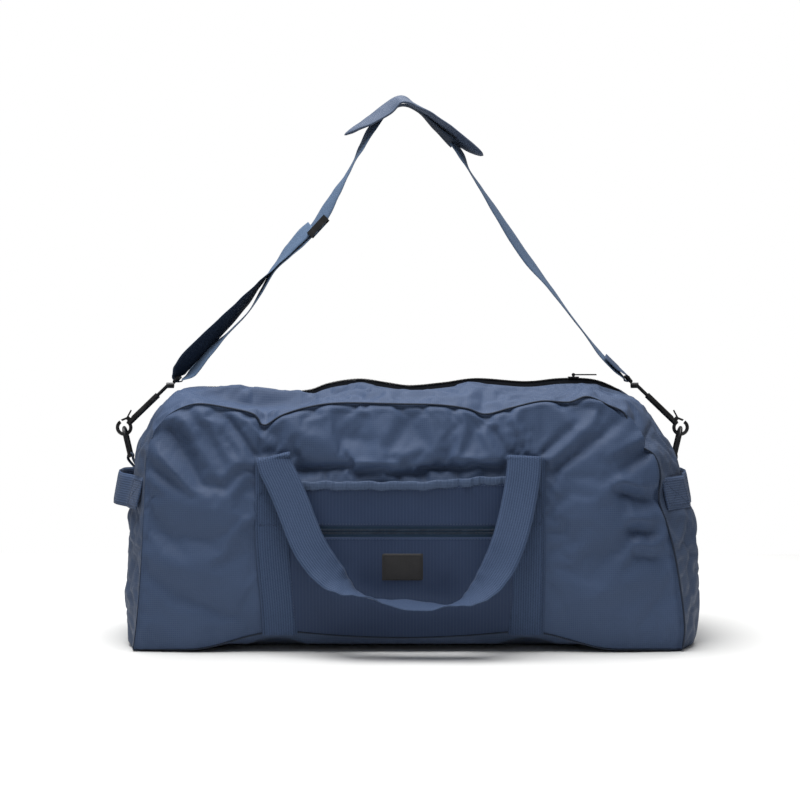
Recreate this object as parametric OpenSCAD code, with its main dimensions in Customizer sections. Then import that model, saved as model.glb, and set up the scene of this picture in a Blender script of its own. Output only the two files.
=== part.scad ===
/* [Body] */
// Length over the middle of the two end panels
body_l = 612; // [560:4:660]
// Height of the zip line above the floor
body_h = 290; // [270:1:300]
// Depth from the front panel's face to the rear panel's face
body_d = 264; // [230:2:290]
// Length of the front and rear panels
panel_l = 572; // [520:4:600]
// Height of the front and rear panels
panel_h = 268; // [250:1:280]
// Radius of the shoulders along the zip line
shoulder_r = 90; // [80:1:100]
// Radius of the shoulders of the front and rear panels
panel_shoulder_r = 85; // [75:1:95]
// Radius of the bottom corners
corner_r = 25; // [15:1:35]
// Thickness of the fabric with its lining and seam allowance
wall_t = 3; // [2:0.5:4]
// Width of the belt of fabric that runs round the middle of the bag
belt_w = 64; // [56:2:70]

/* [Main zip] */
// Length of the straight run that the slider travels on
zip_l = 410; // [380:2:424]
// Gap between the two rows of teeth
zip_gap = 1.2; // [0.8:0.1:2]
// Width of each tape
tape_w = 15; // [12:0.5:18]
// Thickness of a tape
tape_t = 0.8; // [0.6:0.1:1]
// Height of the coil above its tape
coil_h = 2.2; // [1.6:0.1:2.6]
// Distance from the middle of the bag to the parked slider
slider_x = 195; // [150:1:198]

/* [Front pocket] */
// Width of the pocket between the two webbing straps
pocket_w = 232; // [200:2:233]
// Height of the pocket's zip above the floor
pocket_zip_z = 132; // [110:1:140]
// Height of the pocket's puckered top hem
pocket_top_z = 187; // [170:1:195]
// Distance from the middle of the bag to the parked pocket slider
pocket_slider_x = 103; // [60:1:106]
// Width of the label patch
label_w = 44; // [30:1:60]
// Height of the label patch
label_h = 29; // [20:1:32]

/* [Carry handles] */
// Width of the handle webbing
web_w = 38; // [30:1:38]
// Thickness of the webbing
web_t = 2.4; // [1.6:0.1:2.8]
// Distance between the middles of the two sewn straps
web_gap = 272; // [272:1:290]
// Height of the fold where the handle leaves its sewn strap
fold_z = 205; // [200:1:215]
// Distance from the fold to the middle of the drooping webbing
handle_drop = 157; // [120:1:160]
// Angle between the drooping handle and the front panel
handle_lean = 18; // [15:1:20]
// Height of the middle of the grab handles on the ends
grab_z = 170; // [150:1:174]

/* [Shoulder strap] */
// Width of the strap webbing
strap_w = 25; // [20:1:25]
// Thickness of the strap webbing
strap_t = 1.6; // [1.2:0.1:1.8]
// Distance from the middle of the bag to the hinge of each hook's eye
eye_x = 263; // [262:1:265]
// Height of the hinge of each hook's eye
eye_z = 285; // [285:1:288]
// Width of the shoulder pad
pad_w = 52; // [40:1:60]
// Thickness of the shoulder pad
pad_t = 6; // [4:0.5:8]
// Radius of the D-ring's wire
ring_wire_r = 1.8; // [1.5:0.1:2]

/* [Hidden] */

$fn = 48;
eps_gap = 0.3;
half_l = body_l / 2;
half_d = body_d / 2;
belt_y = belt_w / 2;
panel_in_y = half_d - wall_t;
skin_y = half_d + web_t;
corner_steps = 4;
shoulder_steps = 8;
// points of an outline: a corner, a shoulder, a shoulder and a corner
side_end = corner_steps + 1;
top_end = corner_steps + 2 * shoulder_steps + 2;
last_point = 2 * corner_steps + 2 * shoulder_steps + 3;

fabric = [0.25, 0.30, 0.40];
fabric_dark = [0.16, 0.20, 0.29];
webbing = [0.22, 0.28, 0.38];
black = [0.07, 0.07, 0.08];

function arc(cx, cz, r, a0, a1, steps) =
    [for (i = [0:steps]) let (a = a0 + (a1 - a0) * i / steps) [cx + r * cos(a), cz + r * sin(a)]];

// Outline of the bag seen from the front, from the right bottom corner over the top to the left one.
function outline(half, h, r, inset) = concat(
    arc(half - corner_r, corner_r, corner_r - inset, -90, 0, corner_steps),
    arc(half - r, h - r, r - inset, 0, 90, shoulder_steps),
    arc(r - half, h - r, r - inset, 90, 180, shoulder_steps),
    arc(corner_r - half, corner_r, corner_r - inset, 180, 270, corner_steps)
);
function belt_line(inset) = outline(half_l, body_h, shoulder_r, inset);
function panel_line(inset) = outline(panel_l / 2, panel_h, panel_shoulder_r, inset);
function part_of(list, first, last) = [for (i = [first:last]) list[i]];
function backwards(list) = [for (i = [len(list) - 1:-1:0]) list[i]];
function along(p, q, t) = p + (q - p) * t;
function unit(v) = v / norm(v);
function left_of(v) = [-v.y, v.x];

// A flat XZ shape, drawn as XY, that fills the space from y0 to y1.
module in_xz(y0, y1) {
    translate([0, y1, 0])
        rotate([90, 0, 0])
            linear_extrude(y1 - y0)
                children();
}

// A strip of thickness t on one side of a path; side 1 is on the left of the path.
module strip(path, t, side = 1) {
    last = len(path) - 1;
    function way(i) = unit(path[min(i + 1, last)] - path[max(i - 1, 0)]);
    shifted = [for (i = [0:last]) path[i] + side * t * left_of(way(i))];
    polygon(concat(path, backwards(shifted)));
}

module mirror_x(on) {
    if (on)
        mirror([1, 0, 0]) children();
    else
        children();
}

module mirror_y(on) {
    if (on)
        mirror([0, 1, 0]) children();
    else
        children();
}

// Fabric between the belt and the front panel, from one outline point to another.
module side_skin(first, last) {
    a_out = part_of(belt_line(0), first, last);
    a_in = part_of(belt_line(wall_t), first, last);
    b_out = part_of(panel_line(0), first, last);
    b_in = part_of(panel_line(wall_t), first, last);
    n = last - first;
    points = [for (i = [0:n]) each [
        [a_out[i].x, -belt_y, a_out[i].y],
        [b_out[i].x, -panel_in_y, b_out[i].y],
        [b_in[i].x, -panel_in_y, b_in[i].y],
        [a_in[i].x, -belt_y, a_in[i].y]
    ]];
    walls = [for (i = [0:n - 1], k = [0:3])
        [4 * i + k, 4 * i + (k + 1) % 4, 4 * i + 4 + (k + 1) % 4, 4 * i + 4 + k]];
    polyhedron(points, concat([[3, 2, 1, 0]], walls, [[4 * n, 4 * n + 1, 4 * n + 2, 4 * n + 3]]));
}

// ---- belt of fabric round the middle ----

module base_center() {
    color(fabric_dark)
        translate([-(half_l - corner_r), -belt_y, 0])
            cube([body_l - 2 * corner_r, belt_w, wall_t]);
}

module base_side(rear) {
    a = half_l - corner_r;
    b = panel_l / 2 - corner_r;
    color(fabric_dark)
        mirror_y(rear)
            linear_extrude(wall_t)
                polygon([[-a, -belt_y], [-b, -panel_in_y], [b, -panel_in_y], [a, -belt_y]]);
}

// The shoulder strip ends where the straight zip run starts.
module end_center(left) {
    stop = [zip_l / 2, body_h];
    outer = concat(part_of(belt_line(0), 0, corner_steps + shoulder_steps + 1), [stop]);
    inner = concat(part_of(belt_line(wall_t), 0, corner_steps + shoulder_steps + 1), [stop - [0, wall_t]]);
    color(fabric)
        mirror_x(left)
            in_xz(-belt_y, belt_y)
                polygon(concat(outer, backwards(inner)));
}

module end_side(left, rear) {
    color(fabric)
        mirror_x(left)
            mirror_y(rear)
                side_skin(0, side_end);
}

module gusset(rear) {
    color(fabric)
        mirror_y(rear)
            side_skin(side_end, top_end);
}

// ---- main zip ----

module placket(rear) {
    color(fabric)
        mirror_y(rear)
            translate([-zip_l / 2 + eps_gap, -belt_y, body_h - wall_t])
                cube([zip_l - 2 * eps_gap, belt_y - zip_gap / 2, wall_t]);
}

module zip_half(rear) {
    coil_w = 2.6;
    run = zip_l - 2 * eps_gap;
    color(black)
        mirror_y(rear)
            union() {
                translate([-run / 2, -tape_w, body_h])
                    cube([run, tape_w - zip_gap / 2, tape_t]);
                translate([-run / 2, -zip_gap / 2 - coil_w, body_h + tape_t])
                    cube([run, coil_w, coil_h]);
            }
}

// Closed end of the zip, from the straight run to just above the D-ring.
module zip_end(left) {
    stop_angle = 66;
    cx = half_l - shoulder_r;
    cz = body_h - shoulder_r;
    outer = concat([[zip_l / 2 + eps_gap, body_h + eps_gap + tape_t]],
        arc(cx, cz, shoulder_r + eps_gap + tape_t, 90, stop_angle, shoulder_steps));
    inner = concat([[zip_l / 2 + eps_gap, body_h + eps_gap]],
        arc(cx, cz, shoulder_r + eps_gap, 90, stop_angle, shoulder_steps));
    color(black)
        mirror_x(left)
            in_xz(-tape_w, tape_w)
                polygon(concat(outer, backwards(inner)));
}

slider_l = 12;
slider_w = 9;
slider_t = 1.6;
bridge_r = 1;
slider_z = body_h + tape_t + coil_h + 0.4;
bridge_z = slider_z + slider_t + 2.2;
pull_l = 26;

// A slider's top plate and bridge, seen with the zip along X and the plate at z = 0.
// The bridge's bar lies across the zip or along it.
module slider_shape(bar_along = false) {
    post_w = 2;
    bar_l = bar_along ? slider_l - 2 : slider_w;
    translate([-slider_l / 2, -slider_w / 2, 0])
        cube([slider_l, slider_w, slider_t]);
    rotate([0, 0, bar_along ? 90 : 0]) {
        for (s = [-1, 1])
            translate([-bridge_r, s * (bar_l / 2 - post_w / 2) - post_w / 2, slider_t])
                cube([2 * bridge_r, post_w, 2.2]);
        translate([0, bar_l / 2, slider_t + 2.2])
            rotate([90, 0, 0])
                cylinder(h = bar_l, r = bridge_r);
    }
}

// A pull tab with its bore on the Y axis at the origin, lying towards +X.
module pull_shape(l) {
    barrel_w = 4.2;
    tab_w = 8;
    tab_t = 1.4;
    difference() {
        union() {
            translate([0, barrel_w / 2, 0])
                rotate([90, 0, 0])
                    cylinder(h = barrel_w, r = 1.9);
            translate([0, -barrel_w / 2, -tab_t / 2])
                cube([6, barrel_w, tab_t]);
            translate([6, -tab_w / 2, -tab_t / 2])
                cube([l - 6, tab_w, tab_t]);
        }
        translate([0, barrel_w, 0])
            rotate([90, 0, 0])
                cylinder(h = 2 * barrel_w, r = bridge_r + 0.08);
        translate([l - 5, 0, -tab_t])
            cylinder(h = 2 * tab_t, r = 1.6);
    }
}

module main_slider() {
    color(black)
        translate([slider_x, 0, slider_z])
            slider_shape();
}

module main_pull() {
    color(black)
        translate([slider_x, 0, bridge_z])
            pull_shape(pull_l);
}

// ---- front and rear panels ----

module large_panel(rear) {
    color(fabric)
        mirror_y(rear)
            in_xz(-half_d, -panel_in_y)
                polygon(panel_line(0));
}

piping_w = 3.5;
piping_t = 2.5;

module piping(rear) {
    color(fabric_dark)
        mirror_y(rear)
            in_xz(-half_d - piping_t, -half_d)
                difference() {
                    polygon(panel_line(0));
                    polygon(panel_line(piping_w));
                }
}

module sewn_web(left, rear) {
    color(webbing)
        mirror_x(left)
            mirror_y(rear)
                translate([web_gap / 2 - web_w / 2, -skin_y, piping_w + eps_gap])
                    cube([web_w, web_t, fold_z - 2 - piping_w]);
}

// ---- front pocket ----

pocket_t = 3;
pocket_zip_h = 13;
pocket_face_y = half_d + pocket_t;

module pocket_band(z0, z1) {
    translate([-pocket_w / 2, -pocket_face_y, z0])
        cube([pocket_w, pocket_t, z1 - z0]);
}

module pocket_lower() {
    color(fabric_dark)
        pocket_band(piping_w + eps_gap, pocket_zip_z - pocket_zip_h / 2);
}

module pocket_upper() {
    color(fabric_dark)
        pocket_band(pocket_zip_z + pocket_zip_h / 2, pocket_top_z);
}

pocket_tape_t = 2;
pocket_coil_h = 1;

module pocket_zip() {
    color(black)
        union() {
            translate([-pocket_w / 2, -half_d - pocket_tape_t, pocket_zip_z - pocket_zip_h / 2])
                cube([pocket_w, pocket_tape_t, pocket_zip_h]);
            translate([-pocket_w / 2, -half_d - pocket_tape_t - pocket_coil_h, pocket_zip_z - 2])
                cube([pocket_w, pocket_coil_h, 4]);
        }
}

pocket_slider_y = half_d + pocket_tape_t + pocket_coil_h + 0.4;
pocket_bridge_y = pocket_slider_y + slider_t + 2.2;
pocket_pull_l = 18;

module pocket_slider() {
    color(black)
        translate([pocket_slider_x, -pocket_slider_y, pocket_zip_z])
            rotate([90, 0, 0])
                slider_shape(bar_along = true);
}

module pocket_pull() {
    color(black)
        translate([pocket_slider_x, -pocket_bridge_y, pocket_zip_z])
            rotate([90, 90, 0])
                pull_shape(pocket_pull_l);
}

label_t = 1;
label_z = 94;

module label_patch() {
    color(black)
        translate([-label_w / 2, -pocket_face_y - label_t, label_z - label_h / 2])
            cube([label_w, label_t, label_h]);
}

// ---- carry handles ----

handle_y = skin_y + 3;
handle_steps = 24;

function half_ellipse(rx, rz) =
    [for (i = [0:handle_steps]) let (a = 180 * i / handle_steps) [rx * cos(a), -rz * sin(a)]];

module carry_handle(rear) {
    rx = web_gap / 2;
    color(webbing)
        mirror_y(rear)
            translate([0, -handle_y, fold_z])
                rotate([-handle_lean, 0, 0])
                    in_xz(-web_t, 0)
                        polygon(concat(
                            half_ellipse(rx + web_w / 2, handle_drop + web_w / 2),
                            backwards(half_ellipse(rx - web_w / 2, handle_drop - web_w / 2))
                        ));
}

// Grab handle across an end: its two feet lie on the end panel and its middle stands off.
module grab(left) {
    foot_y = 64;
    stand_off = 17;
    slope = (half_l - panel_l / 2) / (panel_in_y - belt_y);
    foot_x = half_l - slope * (foot_y - belt_y) + eps_gap;
    knee_y = 48;
    knee_x = half_l - slope * (knee_y - belt_y) + eps_gap;
    bow = [for (i = [0:6]) let (a = 30 * i - 90)
        [half_l + stand_off * cos(a), (knee_y - 8) * sin(a)]];
    path = concat([[foot_x, -foot_y], [knee_x, -knee_y]], part_of(bow, 1, 5), [[knee_x, knee_y], [foot_x, foot_y]]);
    color(webbing)
        mirror_x(left)
            translate([0, 0, grab_z - web_w / 2])
                linear_extrude(web_w)
                    strip(path, web_t, -1);
}

// ---- rings and snap hooks ----

shoulder_c = [half_l - shoulder_r, body_h - shoulder_r];
// a point at radius r and angle a round the shoulder's middle
function at_shoulder(r, a) = shoulder_c + r * [cos(a), sin(a)];
bar_p = at_shoulder(shoulder_r + 4.2, 3);
bow_p = at_shoulder(shoulder_r + 18, 20);
ring_way = unit(bow_p - bar_p);
ring_angle = atan2(ring_way.y, ring_way.x);
ring_half = 13;
tab_bore_r = ring_wire_r + 0.08;
tab_w = 17;

module ring_tab(left) {
    tail = 26;
    tail_t = 1.6;
    color(webbing)
        mirror_x(left)
            difference() {
                union() {
                    in_xz(-tab_w / 2, tab_w / 2)
                        translate(bar_p)
                            circle(r = tab_bore_r + 1.6);
                    translate([half_l + eps_gap, -tab_w / 2, bar_p.y - tail])
                        cube([tail_t, tab_w, tail]);
                }
                in_xz(-tab_w, tab_w)
                    translate(bar_p)
                        circle(r = tab_bore_r);
            }
}

// The ring's straight bar is on Y through the tab; its bow carries the hook.
module d_ring(left) {
    reach = norm(bow_p - bar_p);
    leg = reach - ring_half + ring_wire_r;
    color(black)
        rotate([0, 0, left ? 180 : 0])
            translate([bar_p.x, 0, bar_p.y])
                rotate([0, -ring_angle, 0])
                    union() {
                        translate([0, ring_half, 0])
                            rotate([90, 0, 0])
                                cylinder(h = 2 * ring_half, r = ring_wire_r);
                        for (s = [-1, 1])
                            translate([0, s * (ring_half - ring_wire_r), 0])
                                rotate([0, 90, 0])
                                    cylinder(h = leg, r = ring_wire_r);
                        translate([leg, 0, 0])
                            rotate([0, 0, -90])
                                rotate_extrude(angle = 180)
                                    translate([ring_half - ring_wire_r, 0])
                                        circle(r = ring_wire_r);
                    }
}

// The hook's own frame: the claw's middle is the origin, +X points to the boss and +Z away from the bag.
pin_r = 1.4;
lug_w = 5;
boss_gap = 0.3;
boss_w = 3.2;
boss_r = 3.2;
eye_p = [eye_x, eye_z];
boss_p = eye_p + [lug_w / 2 + boss_gap + boss_w / 2, 0];
hook_way = unit(boss_p - bow_p);
hook_angle = atan2(hook_way.y, hook_way.x);
hook_reach = norm(boss_p - bow_p);
claw_r = 7.6;
claw_wire_r = 2;
claw_open_from = 20;
claw_open_to = 80;
gate_pin_r = 0.8;
gate_pin_x = 10.5;
gate_pin_z = 4.6;

module hook_place(left) {
    mirror_x(left)
        translate([bow_p.x, 0, bow_p.y])
            rotate([0, -hook_angle, 0])
                mirror([0, 0, 1])
                    children();
}

// Claw round the ring's bow, barrel, neck, and a boss whose pin is on X through the eye.
module hook(left) {
    barrel_r = 3.4;
    neck_r = 2;
    barrel_from = claw_r - 0.6;
    barrel_to = hook_reach - 16;
    color(black)
        union() {
            hook_place(left)
                difference() {
                    union() {
                        rotate([90, 0, 0])
                            rotate([0, 0, claw_open_to])
                                rotate_extrude(angle = 360 - claw_open_to + claw_open_from)
                                    translate([claw_r, 0])
                                        circle(r = claw_wire_r);
                        translate([barrel_from, 0, 0])
                            rotate([0, 90, 0])
                                cylinder(h = barrel_to - barrel_from, r = barrel_r);
                        translate([barrel_to - 1, 0, 0])
                            rotate([0, 90, 0])
                                cylinder(h = hook_reach - barrel_to + 1, r = neck_r);
                        translate([gate_pin_x, 0, gate_pin_z])
                            rotate([90, 0, 0])
                                cylinder(h = 6, r = gate_pin_r, center = true);
                        for (s = [-1, 1])
                            translate([gate_pin_x - 2, s * 2.5 - 0.5, 2])
                                cube([4, 1, 4.2]);
                    }
                    translate([gate_pin_x - 4.2, -2, 2.2])
                        cube([8.4, 4, gate_pin_z - 2.2 - gate_pin_r]);
                    translate([gate_pin_x - 4.2, -2, gate_pin_z - 1.2])
                        cube([4.2 - gate_pin_r, 4, 4]);
                }
            mirror_x(left)
                translate([boss_p.x, 0, boss_p.y])
                    rotate([0, 90, 0]) {
                        cylinder(h = boss_w, r = boss_r, center = true);
                        translate([0, 0, -lug_w - boss_gap - boss_w / 2 - 0.4])
                            cylinder(h = lug_w + boss_gap + boss_w / 2 + 0.4, r = pin_r);
                    }
        }
}

// Thumb lever that closes the claw, with its bore on the gate pin.
module gate(left) {
    tip = claw_r * [cos(claw_open_to), sin(claw_open_to)];
    color(black)
        hook_place(left)
            difference() {
                union() {
                    translate([gate_pin_x, 0, gate_pin_z])
                        rotate([90, 0, 0])
                            cylinder(h = 3.2, r = 1.9, center = true);
                    in_xz(-1.6, 1.6)
                        polygon([
                            [gate_pin_x, gate_pin_z - 0.6], [gate_pin_x, gate_pin_z + 1.9],
                            [tip.x + 2.4, tip.y + 1.6], [tip.x + 2.4, tip.y - 0.8]
                        ]);
                    in_xz(-1.6, 1.6)
                        polygon([
                            [gate_pin_x, gate_pin_z + 0.3], [gate_pin_x + 9, gate_pin_z + 3.2],
                            [gate_pin_x + 9, gate_pin_z + 4.8], [gate_pin_x, gate_pin_z + 1.9]
                        ]);
                }
                translate([gate_pin_x, 0, gate_pin_z])
                    rotate([90, 0, 0])
                        cylinder(h = 8, r = gate_pin_r + 0.08, center = true);
            }
}

// ---- shoulder strap ----

// hand-set points of the strap's run in XZ
glide_p = [-95, 465];
left_out_p = [-38, 568];
top_p = [2, 604];
right_out_p = [60, 559];
eye_bar_up = 12;
left_eye = [-eye_x, eye_z];
right_eye = [eye_x, eye_z];
left_way = unit(glide_p - left_eye);
right_way = unit(right_out_p - right_eye);
eye_bar_r = 1.7;
eye_half_w = 15;

// Loop that holds the strap: a lug on the hook's pin, a stem and a rounded bar frame.
module eye(left) {
    way = left ? left_way : right_way;
    bar = (left ? left_eye : right_eye) + eye_bar_up * way;
    centre = left ? left_eye : right_eye;
    lift = atan2(way.y, way.x);
    base = 6.5;
    color(black)
        difference() {
            union() {
                translate([centre.x - lug_w / 2, 0, centre.y])
                    rotate([0, 90, 0])
                        cylinder(h = lug_w, r = 3.2);
                translate([centre.x, 0, centre.y])
                    rotate([0, -lift, 0]) {
                        rotate([0, 90, 0])
                            cylinder(h = base, r = 1.3);
                        translate([base, 0, 0])
                            rotate([90, 0, 0])
                                cylinder(h = 2 * eye_half_w, r = eye_bar_r, center = true);
                        for (s = [-1, 1])
                            translate([base, s * (eye_half_w - eye_bar_r), 0])
                                rotate([0, 90, 0])
                                    cylinder(h = eye_bar_up - base, r = eye_bar_r);
                    }
                translate([bar.x, 0, bar.y])
                    rotate([90, 0, 0])
                        cylinder(h = 2 * eye_half_w, r = eye_bar_r, center = true);
            }
            translate([centre.x - lug_w, 0, centre.y])
                rotate([0, 90, 0])
                    cylinder(h = 2 * lug_w, r = pin_r + 0.08);
        }
}

// The path runs along the strap's underside.
module band(path, side = 1) {
    color(webbing)
        in_xz(-strap_w / 2, strap_w / 2)
            strip(path, strap_t, side);
}

bar_clear = eye_bar_r + 0.4;
glide_half_l = 14;
bend_p = glide_p + (glide_half_l + 6) * left_way;

module strap_left() {
    start = left_eye + (eye_bar_up + bar_clear) * left_way;
    band([start, bend_p, along(bend_p, left_out_p, 0.5), left_out_p, along(left_out_p, top_p, 0.5), top_p]);
}

module strap_right() {
    start = right_eye + (eye_bar_up + bar_clear) * right_way;
    sag_p = along(right_out_p, start, 0.5) + [-4, -3];
    band([top_p, along(top_p, right_out_p, 0.5), right_out_p, sag_p, start]);
}

// Second layer between the eye and the glide, where the strap's end is sewn round the middle bar.
module strap_return() {
    across = left_of(left_way);
    start = left_eye + (eye_bar_up + bar_clear) * left_way - eps_gap * across;
    stop = glide_p - (glide_half_l + 2) * left_way - eps_gap * across;
    dip = along(start, stop, 0.45) - 9 * across;
    band([start, dip, stop], -1);
}

// Three-bar slider: the strap runs under the outer bars and over the middle one.
module strap_glide() {
    rail_w = 3;
    inner_half = strap_w / 2 + 0.6;
    play = 0.5;
    bar_t = 2.4;
    color(black)
        translate([glide_p.x, 0, glide_p.y])
            rotate([0, -atan2(left_way.y, left_way.x), 0])
                union() {
                    for (s = [-1, 1])
                        translate([-glide_half_l, s * (inner_half + rail_w / 2) - rail_w / 2, -play - bar_t])
                            cube([2 * glide_half_l, rail_w, strap_t + 2 * play + 2 * bar_t]);
                    for (x = [-glide_half_l, glide_half_l - 5])
                        translate([x, -inner_half, strap_t + play])
                            cube([5, 2 * inner_half, bar_t]);
                    translate([-3, -inner_half, -play - bar_t])
                        cube([6, 2 * inner_half, bar_t]);
                }
}

// Padded sleeve that lies over the top of the strap.
module shoulder_pad() {
    lift = 2 * strap_t + 1;
    path = [
        [-67, 562], along(left_out_p, top_p, 0.2) + [-6, lift + 2], top_p + [-14, lift - 4],
        top_p + [0, lift], top_p + [14, lift - 5], right_out_p + [2, lift + 3], [93, 543]
    ];
    color(fabric)
        in_xz(-pad_w / 2, pad_w / 2)
            strip(path, pad_t);
}

base_center();
base_side(false);  // base_front
base_side(true);  // base_rear
end_center(true);  // end_center_left
end_center(false);  // end_center_right
end_side(true, false);  // end_left_front
end_side(true, true);  // end_left_rear
end_side(false, false);  // end_right_front
end_side(false, true);  // end_right_rear
gusset(false);  // gusset_front
gusset(true);  // gusset_rear
placket(false);  // placket_front
placket(true);  // placket_rear
zip_half(false);  // zip_front
zip_half(true);  // zip_rear
zip_end(true);  // zip_end_left
zip_end(false);  // zip_end_right
main_slider();
main_pull();
large_panel(false);  // front_panel
large_panel(true);  // rear_panel
piping(false);  // front_piping
piping(true);  // rear_piping
sewn_web(true, false);  // front_web_left
sewn_web(false, false);  // front_web_right
sewn_web(true, true);  // rear_web_left
sewn_web(false, true);  // rear_web_right
pocket_lower();
pocket_upper();
pocket_zip();
pocket_slider();
pocket_pull();
label_patch();
carry_handle(false);  // front_handle
carry_handle(true);  // rear_handle
grab(true);  // grab_left
grab(false);  // grab_right
ring_tab(true);  // ring_tab_left
ring_tab(false);  // ring_tab_right
d_ring(true);  // d_ring_left
d_ring(false);  // d_ring_right
hook(true);  // hook_left
hook(false);  // hook_right
gate(true);  // gate_left
gate(false);  // gate_right
eye(true);  // eye_left
eye(false);  // eye_right
strap_left();
strap_return();
strap_right();
strap_glide();
shoulder_pad();
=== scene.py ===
import math

import bpy
import numpy as np
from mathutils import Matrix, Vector, noise
from mathutils.bvhtree import BVHTree


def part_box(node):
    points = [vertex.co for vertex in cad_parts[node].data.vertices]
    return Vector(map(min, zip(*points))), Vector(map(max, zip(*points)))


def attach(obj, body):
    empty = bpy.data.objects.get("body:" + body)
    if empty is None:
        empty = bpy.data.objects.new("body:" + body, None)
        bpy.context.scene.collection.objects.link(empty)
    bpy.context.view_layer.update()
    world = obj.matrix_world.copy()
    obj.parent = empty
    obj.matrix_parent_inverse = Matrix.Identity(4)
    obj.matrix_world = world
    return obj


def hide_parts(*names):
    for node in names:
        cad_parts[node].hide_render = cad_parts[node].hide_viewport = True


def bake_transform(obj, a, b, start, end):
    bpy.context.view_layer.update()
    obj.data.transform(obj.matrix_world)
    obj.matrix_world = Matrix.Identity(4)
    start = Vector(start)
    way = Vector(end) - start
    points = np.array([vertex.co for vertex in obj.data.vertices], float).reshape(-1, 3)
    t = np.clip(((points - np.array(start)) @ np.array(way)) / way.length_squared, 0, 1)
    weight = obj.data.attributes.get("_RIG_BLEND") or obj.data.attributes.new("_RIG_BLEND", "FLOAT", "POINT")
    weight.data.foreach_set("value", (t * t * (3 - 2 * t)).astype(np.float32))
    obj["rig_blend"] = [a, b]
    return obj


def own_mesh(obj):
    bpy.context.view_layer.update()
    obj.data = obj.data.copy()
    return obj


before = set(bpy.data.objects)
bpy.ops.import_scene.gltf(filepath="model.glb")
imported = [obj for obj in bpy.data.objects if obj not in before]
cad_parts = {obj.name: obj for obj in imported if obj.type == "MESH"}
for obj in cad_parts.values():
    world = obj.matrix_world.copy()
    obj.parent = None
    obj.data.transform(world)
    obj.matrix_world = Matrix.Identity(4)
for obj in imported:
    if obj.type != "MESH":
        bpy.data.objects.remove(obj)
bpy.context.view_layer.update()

MM = 0.001
SIDES = ((-1, "front"), (1, "rear"))
HANDS = ((-1, "left"), (1, "right"))


# -------- frame sizes

def box(node):
    """The two corners of a CAD node's box."""
    return [Vector(v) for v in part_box(node)]


web_lo, web_hi = box("front_web_right")
label_lo, label_hi = box("label_patch")
pocket_zip_lo, pocket_zip_hi = box("pocket_zip")

HALF_L, _, RIDGE_Z = box("end_center_right")[1]
PANEL_Y = -box("front_panel")[0].y
BELT_Y = box("base_center")[1].y
ZIP_HALF_L = box("placket_front")[1].x
WEB_X = (web_lo.x + web_hi.x) / 2
WEB_HALF = (web_hi.x - web_lo.x) / 2
POCKET_TOP_Z = box("pocket_upper")[1].z
HANDLE_Y, FOLD_Z = box("front_handle")[1][1:]


# -------- small maths

def smooth(t):
    t = min(max(t, 0.0), 1.0)
    return t * t * (3 - 2 * t)


def bump(d, w):
    return math.exp(-(d / w) ** 2)


def steps(start, end, n):
    """n + 1 even steps from start to end."""
    return [start + (end - start) * i / n for i in range(n + 1)]


def spline(points, n):
    """n points spread evenly by length along a smooth curve through the given ones."""
    pts = [Vector(p) for p in points]
    dense = []
    for i in range(len(pts) - 1):
        p0 = pts[max(i - 1, 0)]
        p1, p2 = pts[i], pts[i + 1]
        p3 = pts[min(i + 2, len(pts) - 1)]
        for k in range(24):
            t = k / 24
            dense.append(0.5 * (2 * p1 + (p2 - p0) * t + (2 * p0 - 5 * p1 + 4 * p2 - p3) * t * t
                                + (3 * p1 - 3 * p2 + p3 - p0) * t ** 3))
    dense.append(pts[-1])
    return even(dense, n)


def lengths(path):
    """The length of the path up to each of its points."""
    run = [0.0]
    for a, b in zip(path, path[1:]):
        run.append(run[-1] + (b - a).length)
    return run


def even(dense, n):
    run = lengths(dense)
    out, k = [], 0
    for i in range(n):
        s = run[-1] * i / (n - 1)
        while k < len(run) - 2 and run[k + 1] < s:
            k += 1
        f = (s - run[k]) / max(run[k + 1] - run[k], 1e-9)
        out.append(dense[k].lerp(dense[k + 1], min(max(f, 0.0), 1.0)))
    return out


def directions(path):
    last = len(path) - 1
    return [(path[min(i + 1, last)] - path[max(i - 1, 0)]).normalized() for i in range(len(path))]


def smoothed(path, rounds):
    for _ in range(rounds):
        path = [path[0]] + [(a + 2 * b + c) / 4 for a, b, c in zip(path, path[1:], path[2:])] + [path[-1]]
    return path


def angle_at(marks, place):
    """The angle at a place, in radians, eased between marks of (place, angle in degrees)."""
    k = max((i for i in range(len(marks) - 1) if marks[i][0] <= place), default=0)
    f = smooth((place - marks[k][0]) / max(marks[k + 1][0] - marks[k][0], 1e-6))
    return math.radians(marks[k][1] * (1 - f) + marks[k + 1][1] * f)


# -------- shell of the bag

NU, NV, NS = 105, 43, 43        # columns along the length, rows up, rows from front to rear


def mm(*points):
    return [Vector((p[0] * MM, p[1] * MM, p[2] * MM)) for p in points]


def level(*points):
    return mm(*((x, 0, z) for x, z in points))


# lines in XZ at the middle of the bag (Y = 0), in mm
BELT_RIGHT = level((302, 1), (308, 22), (313, 70), (313, 120), (307, 175), (297, 218), (278, 250))
BELT_TOP = level((278, 250), (258, 270), (240, 282), (216, 290.5), (180, 291.5), (140, 288), (85, 291.5),
                 (48, 287), (9, 283.5), (-18, 287), (-46, 291), (-70, 289), (-88, 285), (-104, 279),
                 (-125, 276.5), (-155, 277.5), (-205, 281.5), (-238, 280), (-258, 269), (-277, 250))
BELT_LEFT = level((-277, 250), (-294, 218), (-301, 175), (-303, 120), (-304, 70), (-303, 22), (-298, 1))
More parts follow.
